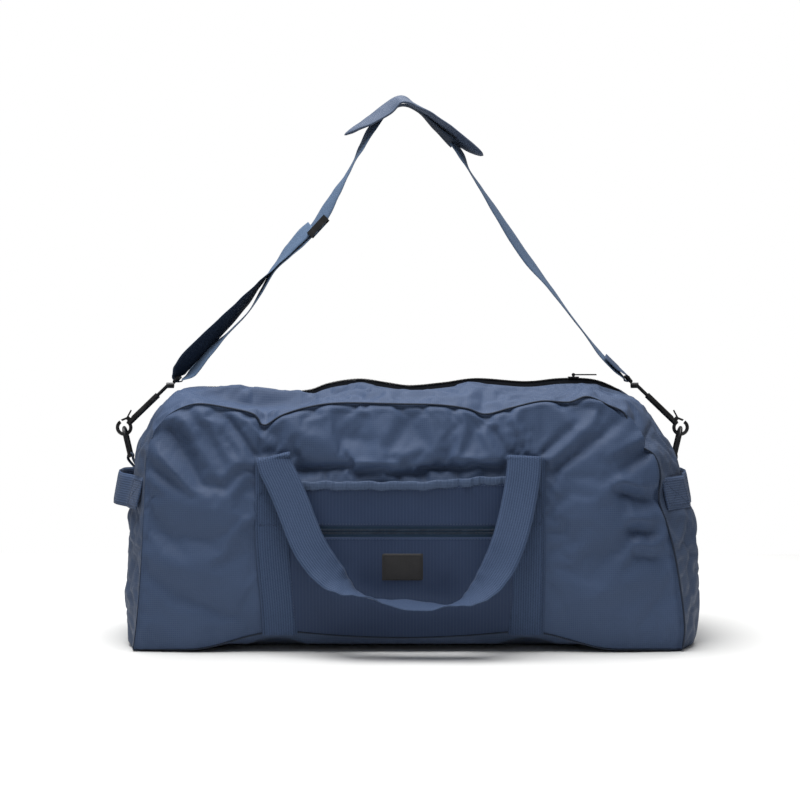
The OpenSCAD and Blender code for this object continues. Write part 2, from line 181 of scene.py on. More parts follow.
# the seam round the front panel, in mm
SEAM_RIGHT = mm((303, -120, 2), (305, -124, 28), (300, -125, 70), (293, -124, 110), (285, -122, 140),
                (277, -119, 165), (279, -117, 190), (273, -114, 212), (257, -113, 222))
SEAM_TOP = mm((257, -113, 222), (247, -112, 240), (240, -112, 258), (222, -112, 267), (200, -112, 276),
              (180, -113, 270), (150, -113, 271), (118, -114, 264), (90, -114, 257), (70, -114, 263),
              (40, -113, 267), (-3, -112, 268), (-67, -112, 269), (-100, -113, 265), (-130, -114, 256),
              (-150, -117, 245), (-161, -115, 257), (-190, -112, 264), (-224, -112, 268), (-252, -111, 257),
              (-269, -112, 238))
SEAM_LEFT = mm((-269, -112, 238), (-277, -114, 210), (-279, -119, 170), (-281, -123, 120), (-284, -125, 70),
               (-288, -124, 28), (-292, -120, 2))
SEAM_SAG = (16, 22)             # height of the bottom seam in the middle and at the webbing, in mm
SEAM_END_Z = 3                  # and near the corners
WEB_LIFT = 15 * MM              # how far the webbing pulls up the edge of the base
HANG_Z = 6.5 * MM               # height of the fabric that hangs below the bottom seam
ZIP_RISE = 5 * MM               # how far the teeth stand above the fabric beside them
RIDGE_END = {1: 0.262, -1: 0.235}  # where that rise has faded out, to the right and to the left


def side_lines(right, top, left):
    return (spline(right, NV), spline(top, NU), spline(left, NV))


def rear_point(p):
    """The unseen rear seam follows the front one in a calmer, different wave."""
    wave = 3 * MM * math.sin(p.x * 37 + 1.3) * smooth((p.z - 0.2) / 0.06)
    return Vector((p.x, -p.y, p.z + wave))


belt_lines = side_lines(BELT_RIGHT, BELT_TOP, BELT_LEFT)
seam_lines = side_lines(SEAM_RIGHT, SEAM_TOP, SEAM_LEFT)
rear_lines = [[rear_point(p) for p in line] for line in seam_lines]


def across(belt, seam, s, crown):
    """Point at share s (0 at the belt's middle, 1 at the seam) of the fabric between belt and seam."""
    flat = BELT_Y / abs(seam.y)
    t = max((s - flat * 0.55) / (1 - flat * 0.55), 0.0) ** 1.5
    p = belt.lerp(seam, t)
    out = Vector((belt.x + seam.x, 0, (belt.z + seam.z) * 0.9 - 0.16))
    out = out.normalized() if out.length > 1e-6 else Vector((0, 0, 1))
    p = p + out * crown * math.sin(math.pi * s) ** 1.5
    return Vector((p.x, seam.y * s, max(p.z, 0)))


# distance of the columns from the middle, in mm: three to the edge of the zip tape, three to the belt's edge
HALF_COLUMNS = [0, 5, 10, 15, 20.5, 26, 32] + [32 + (117 - 32) * i / 15 for i in range(1, 16)]
TAPE_COLUMN, BELT_COLUMN = 3, 6
columns = [c / 117 for c in HALF_COLUMNS[:0:-1] + HALF_COLUMNS]
MID = len(HALF_COLUMNS) - 1


def strip_grid(line, crowns):
    """grid[k][i]: k from front to rear seam, i along the line; crowns[i] is how far it bulges there."""
    belt, front, rear = belt_lines[line], seam_lines[line], rear_lines[line]
    grid = []
    for k in range(NS):
        seam = front if k <= MID else rear
        grid.append([across(belt[i], seam[i], columns[k], crowns[i]) for i in range(len(belt))])
    return grid


TOP_CROWN, RIGHT_CROWN, LEFT_CROWN = 3 * MM, 19 * MM, 6 * MM
to_top = [smooth((NV - 1 - i) / (NV * 0.5)) for i in range(NV)]
grid_right = strip_grid(0, [TOP_CROWN + (RIGHT_CROWN - TOP_CROWN) * f for f in to_top])
grid_top = strip_grid(1, [TOP_CROWN] * NU)
grid_left = strip_grid(2, [TOP_CROWN + (LEFT_CROWN - TOP_CROWN) * f for f in to_top[::-1]])
for k, row in enumerate(grid_top):
    for i, p in enumerate(row):
        ridge = smooth(abs(p.y) / 0.016) * (1 - smooth((abs(p.y) - 0.03) / 0.05))
        ends = smooth((RIDGE_END[1 if p.x > 0 else -1] - abs(p.x)) / 0.04)
        p.z -= ZIP_RISE * ridge * ends
        # on the left a fold of the front gusset stands in front of the teeth
        fold = 11 * MM * smooth((-0.097 - p.x) / 0.022) + 4.5 * MM * smooth((-0.113 - p.x) / 0.05)
        p.z += fold * bump(p.y + 0.024, 0.013) * smooth((p.x + 0.245) / 0.065) * (k < MID)


# the base is flat in the middle, and its front and rear edges roll up to the panels' bottom seams

def seam_height(x):
    """Height of the bottom seam: pulled up at the webbing, sagging between, low towards the corners."""
    x = abs(x / MM)
    middle, at_web = SEAM_SAG
    if x < WEB_X / MM:
        return MM * (middle + (at_web - middle) * min(x / 112, 1) ** 2)
    return MM * (SEAM_END_Z + (at_web - SEAM_END_Z) * (1 - smooth((x - WEB_X / MM) / 95)))


def base_line(corner_a, corner_b, n):
    out = []
    for i in range(n):
        f = i / (n - 1)
        p = corner_a.lerp(corner_b, f)
        rise = smooth(min(f, 1 - f) / 0.12)
        p.z = corner_a.z + (seam_height(p.x) - corner_a.z) * rise
        p.y = corner_a.y * (1 + 0.045 * rise)
        out.append(p)
    return out


base_front = base_line(grid_right[0][0], grid_left[0][-1], NU)
base_rear = base_line(grid_right[-1][0], grid_left[-1][-1], NU)
grid_base = []
for k in range(NS):
    edge = base_front if k <= MID else base_rear
    c = columns[k]
    a, b = grid_right[k][0], grid_left[k][-1]
    row = []
    for i in range(NU):
        f = i / (NU - 1)
        side = a.lerp(b, f)
        hang = min(HANG_Z, edge[i].z * 0.6)
        roll = hang * smooth((c - 0.56) / 0.24) + (edge[i].z - hang) * smooth((c - 0.87) / 0.13) ** 1.3
        lift = WEB_LIFT * bump(abs(side.x) - WEB_X, 0.04) * smooth((c - 0.6) / 0.35)
        z = max(roll, min(lift, edge[i].z))
        edge_mix = smooth(min(f, 1 - f) / 0.05)
        row.append(Vector((side.x, edge[i].y * c, z * edge_mix + side.z * (1 - edge_mix))))
    grid_base.append(row)
grid_base[0] = [p.copy() for p in base_front]
grid_base[-1] = [p.copy() for p in base_rear]


def coons(bottom, top, right, left, depth):
    """Panel between four edges; rows go up, columns follow the top line from right to left."""
    rows = []
    n, m = len(top), len(right)
    for j in range(m):
        v = j / (m - 1)
        row = []
        for i in range(n):
            u = i / (n - 1)
            p = (bottom[i] * (1 - v) + top[i] * v + right[j] * (1 - u) + left[j] * u
                 - (bottom[0] * (1 - u) * (1 - v) + bottom[-1] * u * (1 - v)
                    + top[0] * (1 - u) * v + top[-1] * u * v))
            belly = max(math.sin(math.pi * u), 0) ** 0.6 * max(math.sin(math.pi * v ** 1.6), 0) ** 0.6
            row.append(Vector((p.x, p.y + math.copysign(depth * belly, p.y), p.z)))
        rows.append(row)
    return rows


BELLY = 10 * MM                 # how far the large panels bulge
grid_front = coons(base_front, seam_lines[1], seam_lines[0], seam_lines[2][::-1], BELLY)
grid_rear = coons(base_rear, rear_lines[1], rear_lines[0], rear_lines[2][::-1], BELLY)

PATCHES = {"front": grid_front, "rear": grid_rear, "top": grid_top, "right": grid_right, "left": grid_left,
           "base": grid_base}
PATCHES = {name: np.array([[tuple(p) for p in row] for row in grid]) for name, grid in PATCHES.items()}
REVERSED = ("front", "top", "right", "left")
UV_AXES = {"front": (0, 2), "rear": (0, 2), "top": (0, 1), "base": (0, 1), "right": (1, 2), "left": (1, 2)}


# -------- folds laid in before the cloth settles

# folds of the front panel: from (x, z) to (x, z), width and height in mm; a height below 0 is a valley
FRONT_FOLDS = [
    (-262, 248, -270, 222, 5, -6), (-196, 262, -160, 214, 7, -6), (-180, 262, -146, 226, 7, 4),
    (-214, 258, -182, 206, 10, 5), (-251, 242, -216, 184, 9, -7), (-236, 250, -196, 190, 9, 4),
    (-262, 214, -226, 174, 8, 5), (-272, 200, -226, 170, 7, -5), (-262, 130, -190, 118, 16, -3),
    (-270, 96, -196, 84, 14, 3), (-240, 60, -176, 40, 12, -3),
    (151, 216, 184, 244, 5, -4), (158, 208, 205, 250, 7, 3), (166, 200, 232, 246, 7, -3),
    (100, 238, 113, 214, 5, -4), (88, 236, 104, 206, 6, 3), (120, 250, 140, 214, 6, 3),
    (268, 220, 240, 200, 8, -5), (262, 234, 222, 214, 8, 4), (236, 172, 288, 158, 7, -5),
    (232, 186, 284, 176, 7, 4), (244, 148, 290, 140, 7, 4), (246, 133, 291, 126, 6, -5),
    (250, 118, 292, 112, 7, 4), (250, 106, 290, 100, 6, -3), (200, 60, 262, 84, 18, 3),
    (-112, 197, -58, 202, 4, -5), (-50, 206, 30, 199, 5, 3), (-20, 214, 60, 224, 14, 4),
    (20, 200, 112, 203, 4, -5), (-60, 232, -20, 222, 12, -3), (60, 214, 100, 206, 7, 3),
]
REAR_SHARE = 0.6                # the rear panel has the same folds, mirrored and this much lower
DIP, DIP_Z = 5 * MM, 0.196      # how far the panel falls back behind the pocket's hem, and the hem's height
GRAB_Z, GRAB_HOLD = 0.17, 0.022  # height of the grab handles, and how far round them the fabric is held


def fold_height(x, z):
    """How far the folds push the front panel out at x, z (metres)."""
    total = 0.0
    for x0, z0, x1, z1, w, h in FRONT_FOLDS:
        ax, az, bx, bz = x0 * MM, z0 * MM, x1 * MM, z1 * MM
        dx, dz = bx - ax, bz - az
        t = ((x - ax) * dx + (z - az) * dz) / (dx * dx + dz * dz)
        if not -0.4 < t < 1.4:
            continue
        c = min(max(t, 0.0), 1.0)
        d = math.hypot(x - ax - c * dx, z - az - c * dz)
        total += h * MM * bump(d, w * MM) * (1 - 0.5 * c)
    return total


def rest_mask(u, v):
    """0 at the edges of a patch, 1 a little way in."""
    return smooth(min(u, 1 - u) / 0.06) * smooth(min(v, 1 - v) / 0.08)


def beside_web(x):
    """1 across the webbing on a large panel, and 0 away from it."""
    return smooth((WEB_HALF + 0.004 - abs(abs(x) - WEB_X)) / 0.006)


def covered(x, z):
    """1 where the webbing or the pocket lies on a large panel."""
    pocket = smooth((WEB_X + WEB_HALF + 0.004 - abs(x)) / 0.006) * smooth((POCKET_TOP_Z + 0.004 - z) / 0.008)
    return max(pocket, beside_web(x) * smooth((FOLD_Z + 0.002 - z) / 0.008))


def lay_folds(patches):
    for name, grid in patches.items():
        rows, cols = grid.shape[:2]
        for j in range(rows):
            for i in range(cols):
                p = grid[j, i]
                edge = rest_mask(i / (cols - 1), j / (rows - 1))
                place = Vector(p)
                crumple = noise.noise(place * 28) * 2.2 + noise.noise(place * 60) * 1.0
                free = edge * (1 - covered(p[0], p[2]))
                if name == "front":
                    dip = DIP * bump(p[2] - DIP_Z, 0.009) * smooth((0.118 - abs(p[0])) / 0.01)
                    p[1] -= free * (fold_height(p[0], p[2]) - dip + crumple * 0.5 * MM)
                elif name == "rear":
                    p[1] += free * (crumple * MM + fold_height(-p[0], p[2]) * REAR_SHARE)
                elif name == "top":
                    p[2] += edge * crumple * MM * 0.8 * smooth((abs(p[1]) - 0.026) / 0.02)
                elif name in ("right", "left"):
                    flat = smooth((abs(p[2] - GRAB_Z) - 0.012) / 0.02)
                    way = 1 if name == "right" else -1
                    p[0] += flat * edge * crumple * MM * 1.4 * way * smooth((abs(p[1]) - 0.01) / 0.03)


rest_patches = {name: grid.copy() for name, grid in PATCHES.items()}
lay_folds(PATCHES)


def weld(patches):
    """One vertex list for all patches, and for each patch the grid of its vertices' numbers."""
    verts, index, numbers = [], {}, {}
    for name, grid in patches.items():
        ids = np.zeros(grid.shape[:2], int)
        for j, row in enumerate(rest_patches[name] if grid.shape == rest_patches[name].shape else grid):
            for i, p in enumerate(row):
                key = tuple(np.round(p * 1e5).astype(int))
                if key not in index:
                    index[key] = len(verts)
                    verts.append(grid[j, i])
                ids[j, i] = index[key]
        numbers[name] = ids
    return np.array(verts), numbers


def quads(ids, turned):
    a, b, c, d = ids[:-1, :-1], ids[:-1, 1:], ids[1:, 1:], ids[1:, :-1]
    order = (d, c, b, a) if turned else (a, b, c, d)
    return np.stack(order, -1)


def faces_of(numbers, names):
    return np.concatenate([quads(numbers[n], n in REVERSED).reshape(-1, 4) for n in names])


# -------- cloth

FRAMES = 16
MOST_MOVE = 14 * MM             # no point moves further than this
GROWTH = 0.05                   # the fabric is this much larger than the shape it is sewn to
END_HOLD = 0.25                 # how firmly the two ends keep their shape
TOP_CALM, END_CALM = 0.35, 0.6  # how much less the top and the ends grow than the rest


def hold_and_calm(name, j, i, shape, place):
    """How firmly a point of a patch is held, and how much less than the rest the fabric grows there."""
    x, y, z = place
    if name == "base":
        return 1.0, 0
    if name in ("front", "rear"):
        border = j in (0, shape[0] - 1) or i in (0, shape[1] - 1)
        on = covered(x, z) if name == "front" else beside_web(x) * (z < FOLD_Z)
        return 1.0 if border else on, 1 - smooth((z - 0.05) / 0.14)
    by_tape = abs(j - MID) <= TAPE_COLUMN
    if name == "top":
        return 1.0 if by_tape else 0.0, TOP_CALM
    return 1.0 if by_tape or abs(z - GRAB_Z) < GRAB_HOLD else END_HOLD, END_CALM


def settle(patches):
    """Lets the fabric buckle between its seams under a little inner pressure, and returns the new patches."""
    verts, numbers = weld(patches)
    faces = faces_of(numbers, patches)
    pin, calm = np.zeros(len(verts)), np.zeros(len(verts))
    for name, ids in numbers.items():
        for (j, i), v in np.ndenumerate(ids):
            held, slow = hold_and_calm(name, j, i, ids.shape, patches[name][j, i])
            pin[v] = max(pin[v], held)
            calm[v] = max(calm[v], slow)
    mesh = bpy.data.meshes.new("settling")
    mesh.from_pydata([tuple(v) for v in verts], [], faces.tolist())
    obj = bpy.data.objects.new("settling", mesh)
    bpy.context.scene.collection.objects.link(obj)
    for name, weights in (("pin", pin), ("calm", calm)):
        group = obj.vertex_groups.new(name=name)
        for v, w in enumerate(weights):
            if w > 0.01:
                group.add([v], float(w), "REPLACE")
    cloth = obj.modifiers.new("cloth", "CLOTH")
    c = cloth.settings
    c.quality = 5
    c.mass = 0.12
    c.tension_stiffness = c.compression_stiffness = 12
    c.shear_stiffness = 4
    c.bending_stiffness = 0.4
    c.vertex_group_mass = "pin"
    c.vertex_group_shrink = "calm"
    c.shrink_min = -GROWTH
    c.shrink_max = -0.01
    c.use_pressure = True
    c.uniform_pressure_force = 1.2
    c.effector_weights.gravity = 0.1
    cloth.collision_settings.use_collision = False
    cloth.point_cache.frame_end = FRAMES
    for f in range(1, FRAMES + 1):
        bpy.context.scene.frame_set(f)
    done = obj.evaluated_get(bpy.context.evaluated_depsgraph_get())
    moved = np.array([v.co for v in done.data.vertices], float).reshape(-1, 3)
    bpy.data.objects.remove(obj)
    bpy.data.meshes.remove(mesh)
    bpy.context.scene.frame_set(1)
    step = moved - verts
    length = np.linalg.norm(step, axis=1)[:, None]
    moved = verts + step * np.minimum(1, MOST_MOVE / np.maximum(length, 1e-9))
    moved[:, 2] = np.maximum(moved[:, 2], 0)
    return {name: moved[ids] for name, ids in numbers.items()}


PATCHES = settle(PATCHES)


def refine(grid):
    """The same surface with twice as many rows and columns."""
    def along(a):
        padded = np.concatenate([2 * a[:1] - a[1:2], a, 2 * a[-1:] - a[-2:-1]])
        middle = (9 * (padded[1:-2] + padded[2:-1]) - padded[:-3] - padded[3:]) / 16
        out = np.empty((2 * len(a) - 1,) + a.shape[1:])
        out[0::2], out[1::2] = a, middle
        return out
    return along(along(grid).swapaxes(0, 1)).swapaxes(0, 1)


fine = {name: refine(grid) for name, grid in PATCHES.items()}
fine_rest = {name: refine(grid) for name, grid in rest_patches.items()}

SEAM_SINK = 2.6 * MM            # how far the large panels sink in beside their seams
CREASE_SHARE = 0.5              # height of the sharp creases, as a share of the soft folds under them
CREASE_INSET = 12               # rows and columns over which the creases fade out to the seams


def loud_seam(p):
    """1 where the seam stands out, little at the left shoulder, where folds hide it."""
    quiet = np.exp(-((p[..., 0] + 0.28) / 0.05) ** 2)
    return 1 - (0.55 + 0.35 * np.clip((p[..., 2] - 0.04) / 0.1, 0, 1)) * quiet


def creases(x, z):
    """Sharp creases along the folds of a large panel, laid in after the cloth has settled."""
    total = np.zeros_like(x)
    for x0, z0, x1, z1, w, h in FRONT_FOLDS:
        ax, az, dx, dz = x0 * MM, z0 * MM, (x1 - x0) * MM, (z1 - z0) * MM
        t = np.clip(((x - ax) * dx + (z - az) * dz) / (dx * dx + dz * dz), 0, 1)
        d = np.hypot(x - ax - t * dx, z - az - t * dz)
        total += h * MM * CREASE_SHARE * np.exp(-d / (0.45 * w * MM)) * (1 - 0.5 * t)
    return total


for name, inwards, share in (("front", 1, 1), ("rear", -1, REAR_SHARE)):
    panel = fine[name]
    rows, cols = panel.shape[:2]
    jj, ii = np.meshgrid(np.arange(rows), np.arange(cols), indexing="ij")
    from_edge = np.minimum(np.minimum(ii, cols - 1 - ii), rows - 1 - jj)
    x, z = panel[..., 0], panel[..., 2]
    free = np.clip(np.minimum(from_edge, jj) / CREASE_INSET, 0, 1) * (1 - np.vectorize(covered)(x, z))
    sink = np.where(from_edge == 1, 1.0, np.where(from_edge == 2, 0.55, 0.0)) * loud_seam(panel)
    panel[..., 1] += inwards * (SEAM_SINK * sink - free * creases(inwards * x, z) * share)


# -------- materials

def srgb(r, g, b):
    def lin(c):
        c /= 255
        return c / 12.92 if c <= 0.04045 else ((c + 0.055) / 1.055) ** 2.4
    return (lin(r), lin(g), lin(b), 1)


class Nodes:
    """A Principled material and a few short ways to add nodes to it."""

    def __init__(self, name):
        self.material = bpy.data.materials.new(name)
        self.material.use_nodes = True
        self.tree = self.material.node_tree
        self.shader = self.tree.nodes["Principled BSDF"]

    def add(self, kind, **inputs):
        node = self.tree.nodes.new(kind)
        for key, value in inputs.items():
            self.join(value, node.inputs[key.replace("_", " ")])
        return node

    def join(self, value, socket):
        if isinstance(value, bpy.types.NodeSocket):
            self.tree.links.new(value, socket)
        else:
            socket.default_value = value

    def math(self, operation, a, b=0.0, c=0.0):
        node = self.tree.nodes.new("ShaderNodeMath")
        node.operation = operation
        for value, socket in zip((a, b, c), node.inputs):
            self.join(value, socket)
        return node.outputs[0]

    def mix(self, factor, a, b):
        node = self.tree.nodes.new("ShaderNodeMix")
        node.data_type = "RGBA"
        self.join(factor, node.inputs[0])
        self.join(a, node.inputs[6])
        self.join(b, node.inputs[7])
        return node.outputs[2]

    def place(self):
        return self.add("ShaderNodeTexCoord").outputs["Object"]

    def uv(self):
        split = self.add("ShaderNodeSeparateXYZ", Vector=self.add("ShaderNodeUVMap").outputs[0])
        return split.outputs[0], split.outputs[1]

    def noise(self, scale, detail=3.0, roughness=0.5):
        inputs = {"Scale": scale, "Detail": detail, "Roughness": roughness, "Vector": self.place()}
        return self.add("ShaderNodeTexNoise", **inputs).outputs[0]

    def wave(self, value, pitch, power=1.0):
        """0 to 1 and back along value once every pitch; a higher power makes the crests narrower."""
        s = self.math("SINE", self.math("MULTIPLY", value, 2 * math.pi / pitch))
        return self.math("POWER", self.math("MULTIPLY_ADD", s, 0.5, 0.5), power)

    def bump(self, height, distance, strength=1.0, normal=None):
        node = self.add("ShaderNodeBump", Height=height, Distance=distance, Strength=strength)
        if normal:
            self.join(normal, node.inputs["Normal"])
        return node.outputs[0]

    def finish(self, color, roughness, normal, specular, **more):
        more.update(Base_Color=color, Roughness=roughness, Normal=normal, Specular_IOR_Level=specular)
        for key, value in more.items():
            self.join(value, self.shader.inputs[key.replace("_", " ")])
        return self.material


SHADE, THREAD_LIGHT = (0.012, 0.018, 0.03, 1), (0.22, 0.29, 0.4, 1)


def ripstop(name, dark, light, pitch_u=0.0022, pitch_v=0.0022, grid_v=1.0, crinkle=0.5, lines=1.0):
    """Thin nylon with a raised grid of thicker threads, fine creases and a slight sheen."""
    n = Nodes(name)
    u, v = n.uv()
    across_lines = n.math("MULTIPLY", n.wave(v, pitch_v, 5.0), grid_v)
    grid = n.math("MAXIMUM", n.wave(u, pitch_u, 5.0), across_lines)
    weave = n.math("MULTIPLY", n.wave(u, pitch_u / 5), n.wave(v, pitch_v / 5))
    cloud = n.noise(9.0, 3.0)
    crease = n.noise(55.0, 5.0, 0.62)
    folds = n.math("ABSOLUTE", n.math("SUBTRACT", n.noise(24.0, 3.0, 0.5), 0.5))
    tone = n.mix(n.math("MULTIPLY_ADD", cloud, 1.1, -0.05), dark, light)
    tone = n.mix(n.math("MULTIPLY", grid, 0.2 * lines), tone, n.mix(0.5, light, THREAD_LIGHT))
    tone = n.mix(n.math("MULTIPLY", n.math("SUBTRACT", 1.0, weave), 0.12), tone, SHADE)
    normal = n.bump(crease, 0.0009 * crinkle)
    normal = n.bump(folds, 0.004 * crinkle, 1.0, normal)
    normal = n.bump(grid, 0.00012, 0.7 * lines, normal)
    rough = n.math("MULTIPLY_ADD", n.noise(30.0, 2.0), 0.16, 0.46)
    return n.finish(tone, rough, normal, 0.14, Sheen_Weight=0.03, Sheen_Roughness=0.4)


BACK_V = 10.0                   # added to v on a ribbon's other face, so a material can tell the faces apart


def webbing(name, dark, light, rib=0.0026, pick=0.0017, back=None):
    """Flat webbing: ribs along its length, crossed by the picks of the weave; back colours its other face,
    and a darker back is painted shade.
    """
    n = Nodes(name)
    u, v = n.uv()
    ribs = n.wave(u, rib, 0.7)
    half_way = n.math("MULTIPLY", n.math("GREATER_THAN", n.wave(u, rib * 2), 0.5), pick / 2)
    picks = n.wave(n.math("ADD", v, half_way), pick, 1.2)
    height = n.math("ADD", n.math("MULTIPLY", ribs, 0.7), n.math("MULTIPLY", picks, 0.45))
    fuzz = n.noise(420.0, 2.0)
    tone = n.mix(n.math("MULTIPLY_ADD", height, 0.75, n.math("MULTIPLY_ADD", fuzz, 0.3, -0.2)), dark, light)
    # a back colour darker than the front paints shade on the face turned from the light
    if back:
        tone = n.mix(n.math("MULTIPLY", n.math("GREATER_THAN", v, BACK_V / 2), 0.85), tone, back)
    normal = n.bump(height, 0.00035, 0.9)
    normal = n.bump(fuzz, 0.00012, 0.6, normal)
    return n.finish(tone, n.math("MULTIPLY_ADD", ribs, 0.12, 0.6), normal, 0.15, Sheen_Weight=0.05)


def zip_cloth(name, dark, light):
    """Woven zip tape with fine ribs along the zip."""
    n = Nodes(name)
    u, v = n.uv()
    ribs = n.wave(v, 0.0011)
    twill = n.wave(n.math("ADD", u, v), 0.0016)
    height = n.math("ADD", ribs, n.math("MULTIPLY", twill, 0.5))
    tone = n.mix(n.math("MULTIPLY", height, 0.55), dark, light)
    return n.finish(tone, 0.85, n.bump(height, 0.00015, 0.8), 0.03)


def hard(name, dark, light, roughness, metallic=0.0, grain=600.0, worn=0.15):
    """Painted metal or moulded plastic with a fine grain and faint, slightly lighter scuffs spread at random;
    worn makes them stronger.
    """
    n = Nodes(name)
    scuff = n.math("POWER", n.noise(110.0, 4.0, 0.6), 3.0)
    tone = n.mix(n.math("MULTIPLY", scuff, 1.0 + worn * 4), dark, light)
    rough = n.math("MULTIPLY_ADD", n.noise(75.0, 3.0), 0.25, roughness - 0.1)
    normal = n.bump(n.noise(grain, 2.0), 0.00008, 0.5)
    return n.finish(tone, rough, normal, 0.5, Metallic=metallic)


def leather_patch(name, dark, light):
    """Stamped synthetic leather with a pebbled grain."""
    n = Nodes(name)
    pebble = n.add("ShaderNodeTexVoronoi", Scale=900.0, Vector=n.place()).outputs["Distance"]
    clouds = n.math("MULTIPLY_ADD", n.noise(60.0, 4.0), 0.8, n.math("MULTIPLY", pebble, 0.3))
    return n.finish(n.mix(clouds, dark, light), 0.62, n.bump(pebble, 0.00015, 0.6), 0.3)


def paper(name, dark, light):
    n = Nodes(name)
    return n.finish(n.mix(n.noise(3.0, 2.0), dark, light), 0.9, n.bump(n.noise(200.0, 2.0), 0.0001, 0.3), 0.1)


NYLON = ripstop("nylon", srgb(54, 69, 96), srgb(70, 87, 118))
NYLON_SIDE = ripstop("nylon_side", srgb(56, 69, 93), srgb(70, 84, 110), crinkle=0.8)
NYLON_POCKET = ripstop("nylon_pocket", srgb(42, 55, 82), srgb(54, 69, 98), 0.0036, 0.0022, 0.25, 0.3, 0.5)
# the hem's lighter colour is painted light for the light its rolled top catches; the hem itself is real
NYLON_HEM_PAINTED_LIGHT = ripstop("nylon_hem_painted_light", srgb(62, 77, 104), srgb(78, 94, 122), crinkle=0.4)
# near-black piping: painted shade standing for the dark shadow line under the gusset's overhanging edge
PIPING_PAINTED_SHADE = ripstop("piping_painted_shade", srgb(18, 24, 36), srgb(34, 43, 60), crinkle=0.3)
WEBBING = webbing("webbing", srgb(44, 59, 84), srgb(76, 94, 126))
# the near-black back colour is painted shade for the strap's underside seen in shadow; the webbing is the
# same colour on both faces
STRAP = webbing("strap_webbing", srgb(62, 80, 106), srgb(104, 128, 158), 0.0021, 0.0015, srgb(24, 34, 50))
# its back face is a little darker than its front: a milder painted shade
STRAP_RIGHT = webbing("strap_webbing_right", srgb(58, 76, 102), srgb(98, 122, 152), 0.0021, 0.0015,
                      srgb(50, 66, 92))
PAD = ripstop("pad_nylon", srgb(66, 78, 100), srgb(84, 95, 115), crinkle=0.6)
THREAD = webbing("thread", srgb(48, 62, 88), srgb(88, 105, 138), 0.0004, 0.0003)
ZIP_BLACK = zip_cloth("zip_tape_black", srgb(4, 5, 8), srgb(14, 17, 24))
ZIP_NAVY = zip_cloth("zip_tape_navy", srgb(34, 48, 66), srgb(66, 86, 108))
COIL_BLACK = hard("coil_black", srgb(6, 7, 10), srgb(24, 26, 32), 0.5)
COIL_NAVY = hard("coil_navy", srgb(30, 42, 60), srgb(62, 80, 104), 0.5)
BLACK_METAL = hard("black_metal", srgb(14, 14, 15), srgb(60, 60, 62), 0.36, 0.35, 900.0, 0.3)
BLACK_PLASTIC = hard("black_plastic", srgb(22, 22, 23), srgb(52, 52, 54), 0.45, 0.0, 500.0, 0.2)
PATCH = leather_patch("patch", srgb(38, 38, 40), srgb(54, 53, 53))
PAPER = paper("paper", (0.76, 0.76, 0.75, 1), (0.79, 0.79, 0.785, 1))


# -------- making pieces

def add_mesh(name, verts, faces, material, uvs, normals=None):
    """uvs holds one (u, v) for each vertex."""
    mesh = bpy.data.meshes.new(name)
    mesh.from_pydata([tuple(v) for v in verts], [], [tuple(int(i) for i in f) for f in faces])
    layer = mesh.uv_layers.new(name="UVMap")
    corners = np.zeros(len(mesh.loops), np.int32)
    mesh.loops.foreach_get("vertex_index", corners)
    layer.data.foreach_set("uv", np.array(uvs, np.float32)[corners].ravel())
    mesh.materials.append(material)
    mesh.polygons.foreach_set("use_smooth", np.ones(len(mesh.polygons), bool))
    if normals is not None:
        mesh.normals_split_custom_set_from_vertices([tuple(n) for n in normals])
    obj = bpy.data.objects.new(name, mesh)
    bpy.context.scene.collection.objects.link(obj)
    return obj


class Builder:
    """Collects parts of one piece: vertices, faces and one uv for each vertex."""

    def __init__(self):
        self.verts, self.faces, self.uvs = [], [], []

    def grid(self, rows, uvs, closed=False, turned=False):
        """A sheet through rows of points; closed joins the last column to the first."""
        base, n = len(self.verts), len(rows[0])
        for row, uv_row in zip(rows, uvs):
            self.verts += list(row)
            self.uvs += list(uv_row)
        for j in range(len(rows) - 1):
            for i in range(n if closed else n - 1):
                a, b = base + j * n + i, base + j * n + (i + 1) % n
                face = (a, b, b + n, a + n)
                self.faces.append(face[::-1] if turned else face)
        return base

    def tube(self, rows, uvs, turned=False):
        """A closed sheet with a face over each of its two ends."""
        n = len(rows[0])
        base = self.grid(rows, uvs, closed=True, turned=turned)
        top = base + (len(rows) - 1) * n
        way = 1 if turned else -1
        self.faces += [tuple(range(base, base + n))[::way], tuple(range(top, top + n))[::-way]]

    def make(self, name, material):
        return add_mesh(name, self.verts, self.faces, material, self.uvs)


def turn(n):
    """n angles round a circle."""
    return steps(0, 2 * math.pi, n)[:-1]


def ring(middle, side, other, radius, n):
    return [middle + radius * (math.cos(a) * side + math.sin(a) * other) for a in turn(n)]


def add_ribbon(build, path, sides, width, thick, across_n=8):
    """Flat webbing with rounded edges swept along a path; sides[i] is the direction across it."""
    shares = steps(0, 1, across_n)
    rows, uv_rows = [], []
    for p, t, side_way, run in zip(path, directions(path), sides, lengths(path)):
        w = (side_way - t * side_way.dot(t)).normalized()
        up = t.cross(w)
        row, uv_row = [], []
        for side, order in ((1, shares), (-1, shares[::-1])):
            for f in order:
                half = thick / 2 * (1 - 0.65 * abs(2 * f - 1) ** 8)
                row.append(p + w * (width * (f - 0.5)) + up * (side * half))
                uv_row.append(((f - 0.5) * width, run + (BACK_V if side < 0 else 0)))
        rows.append(row)
        uv_rows.append(uv_row)
    base = build.grid(rows, uv_rows, closed=True, turned=True)
    m = 2 * (across_n + 1)
    top = base + (len(path) - 1) * m
    for k in range(across_n):
        build.faces.append((base + k, base + k + 1, base + m - 2 - k, base + m - 1 - k))
        build.faces.append((top + m - 1 - k, top + m - 2 - k, top + k + 1, top + k))


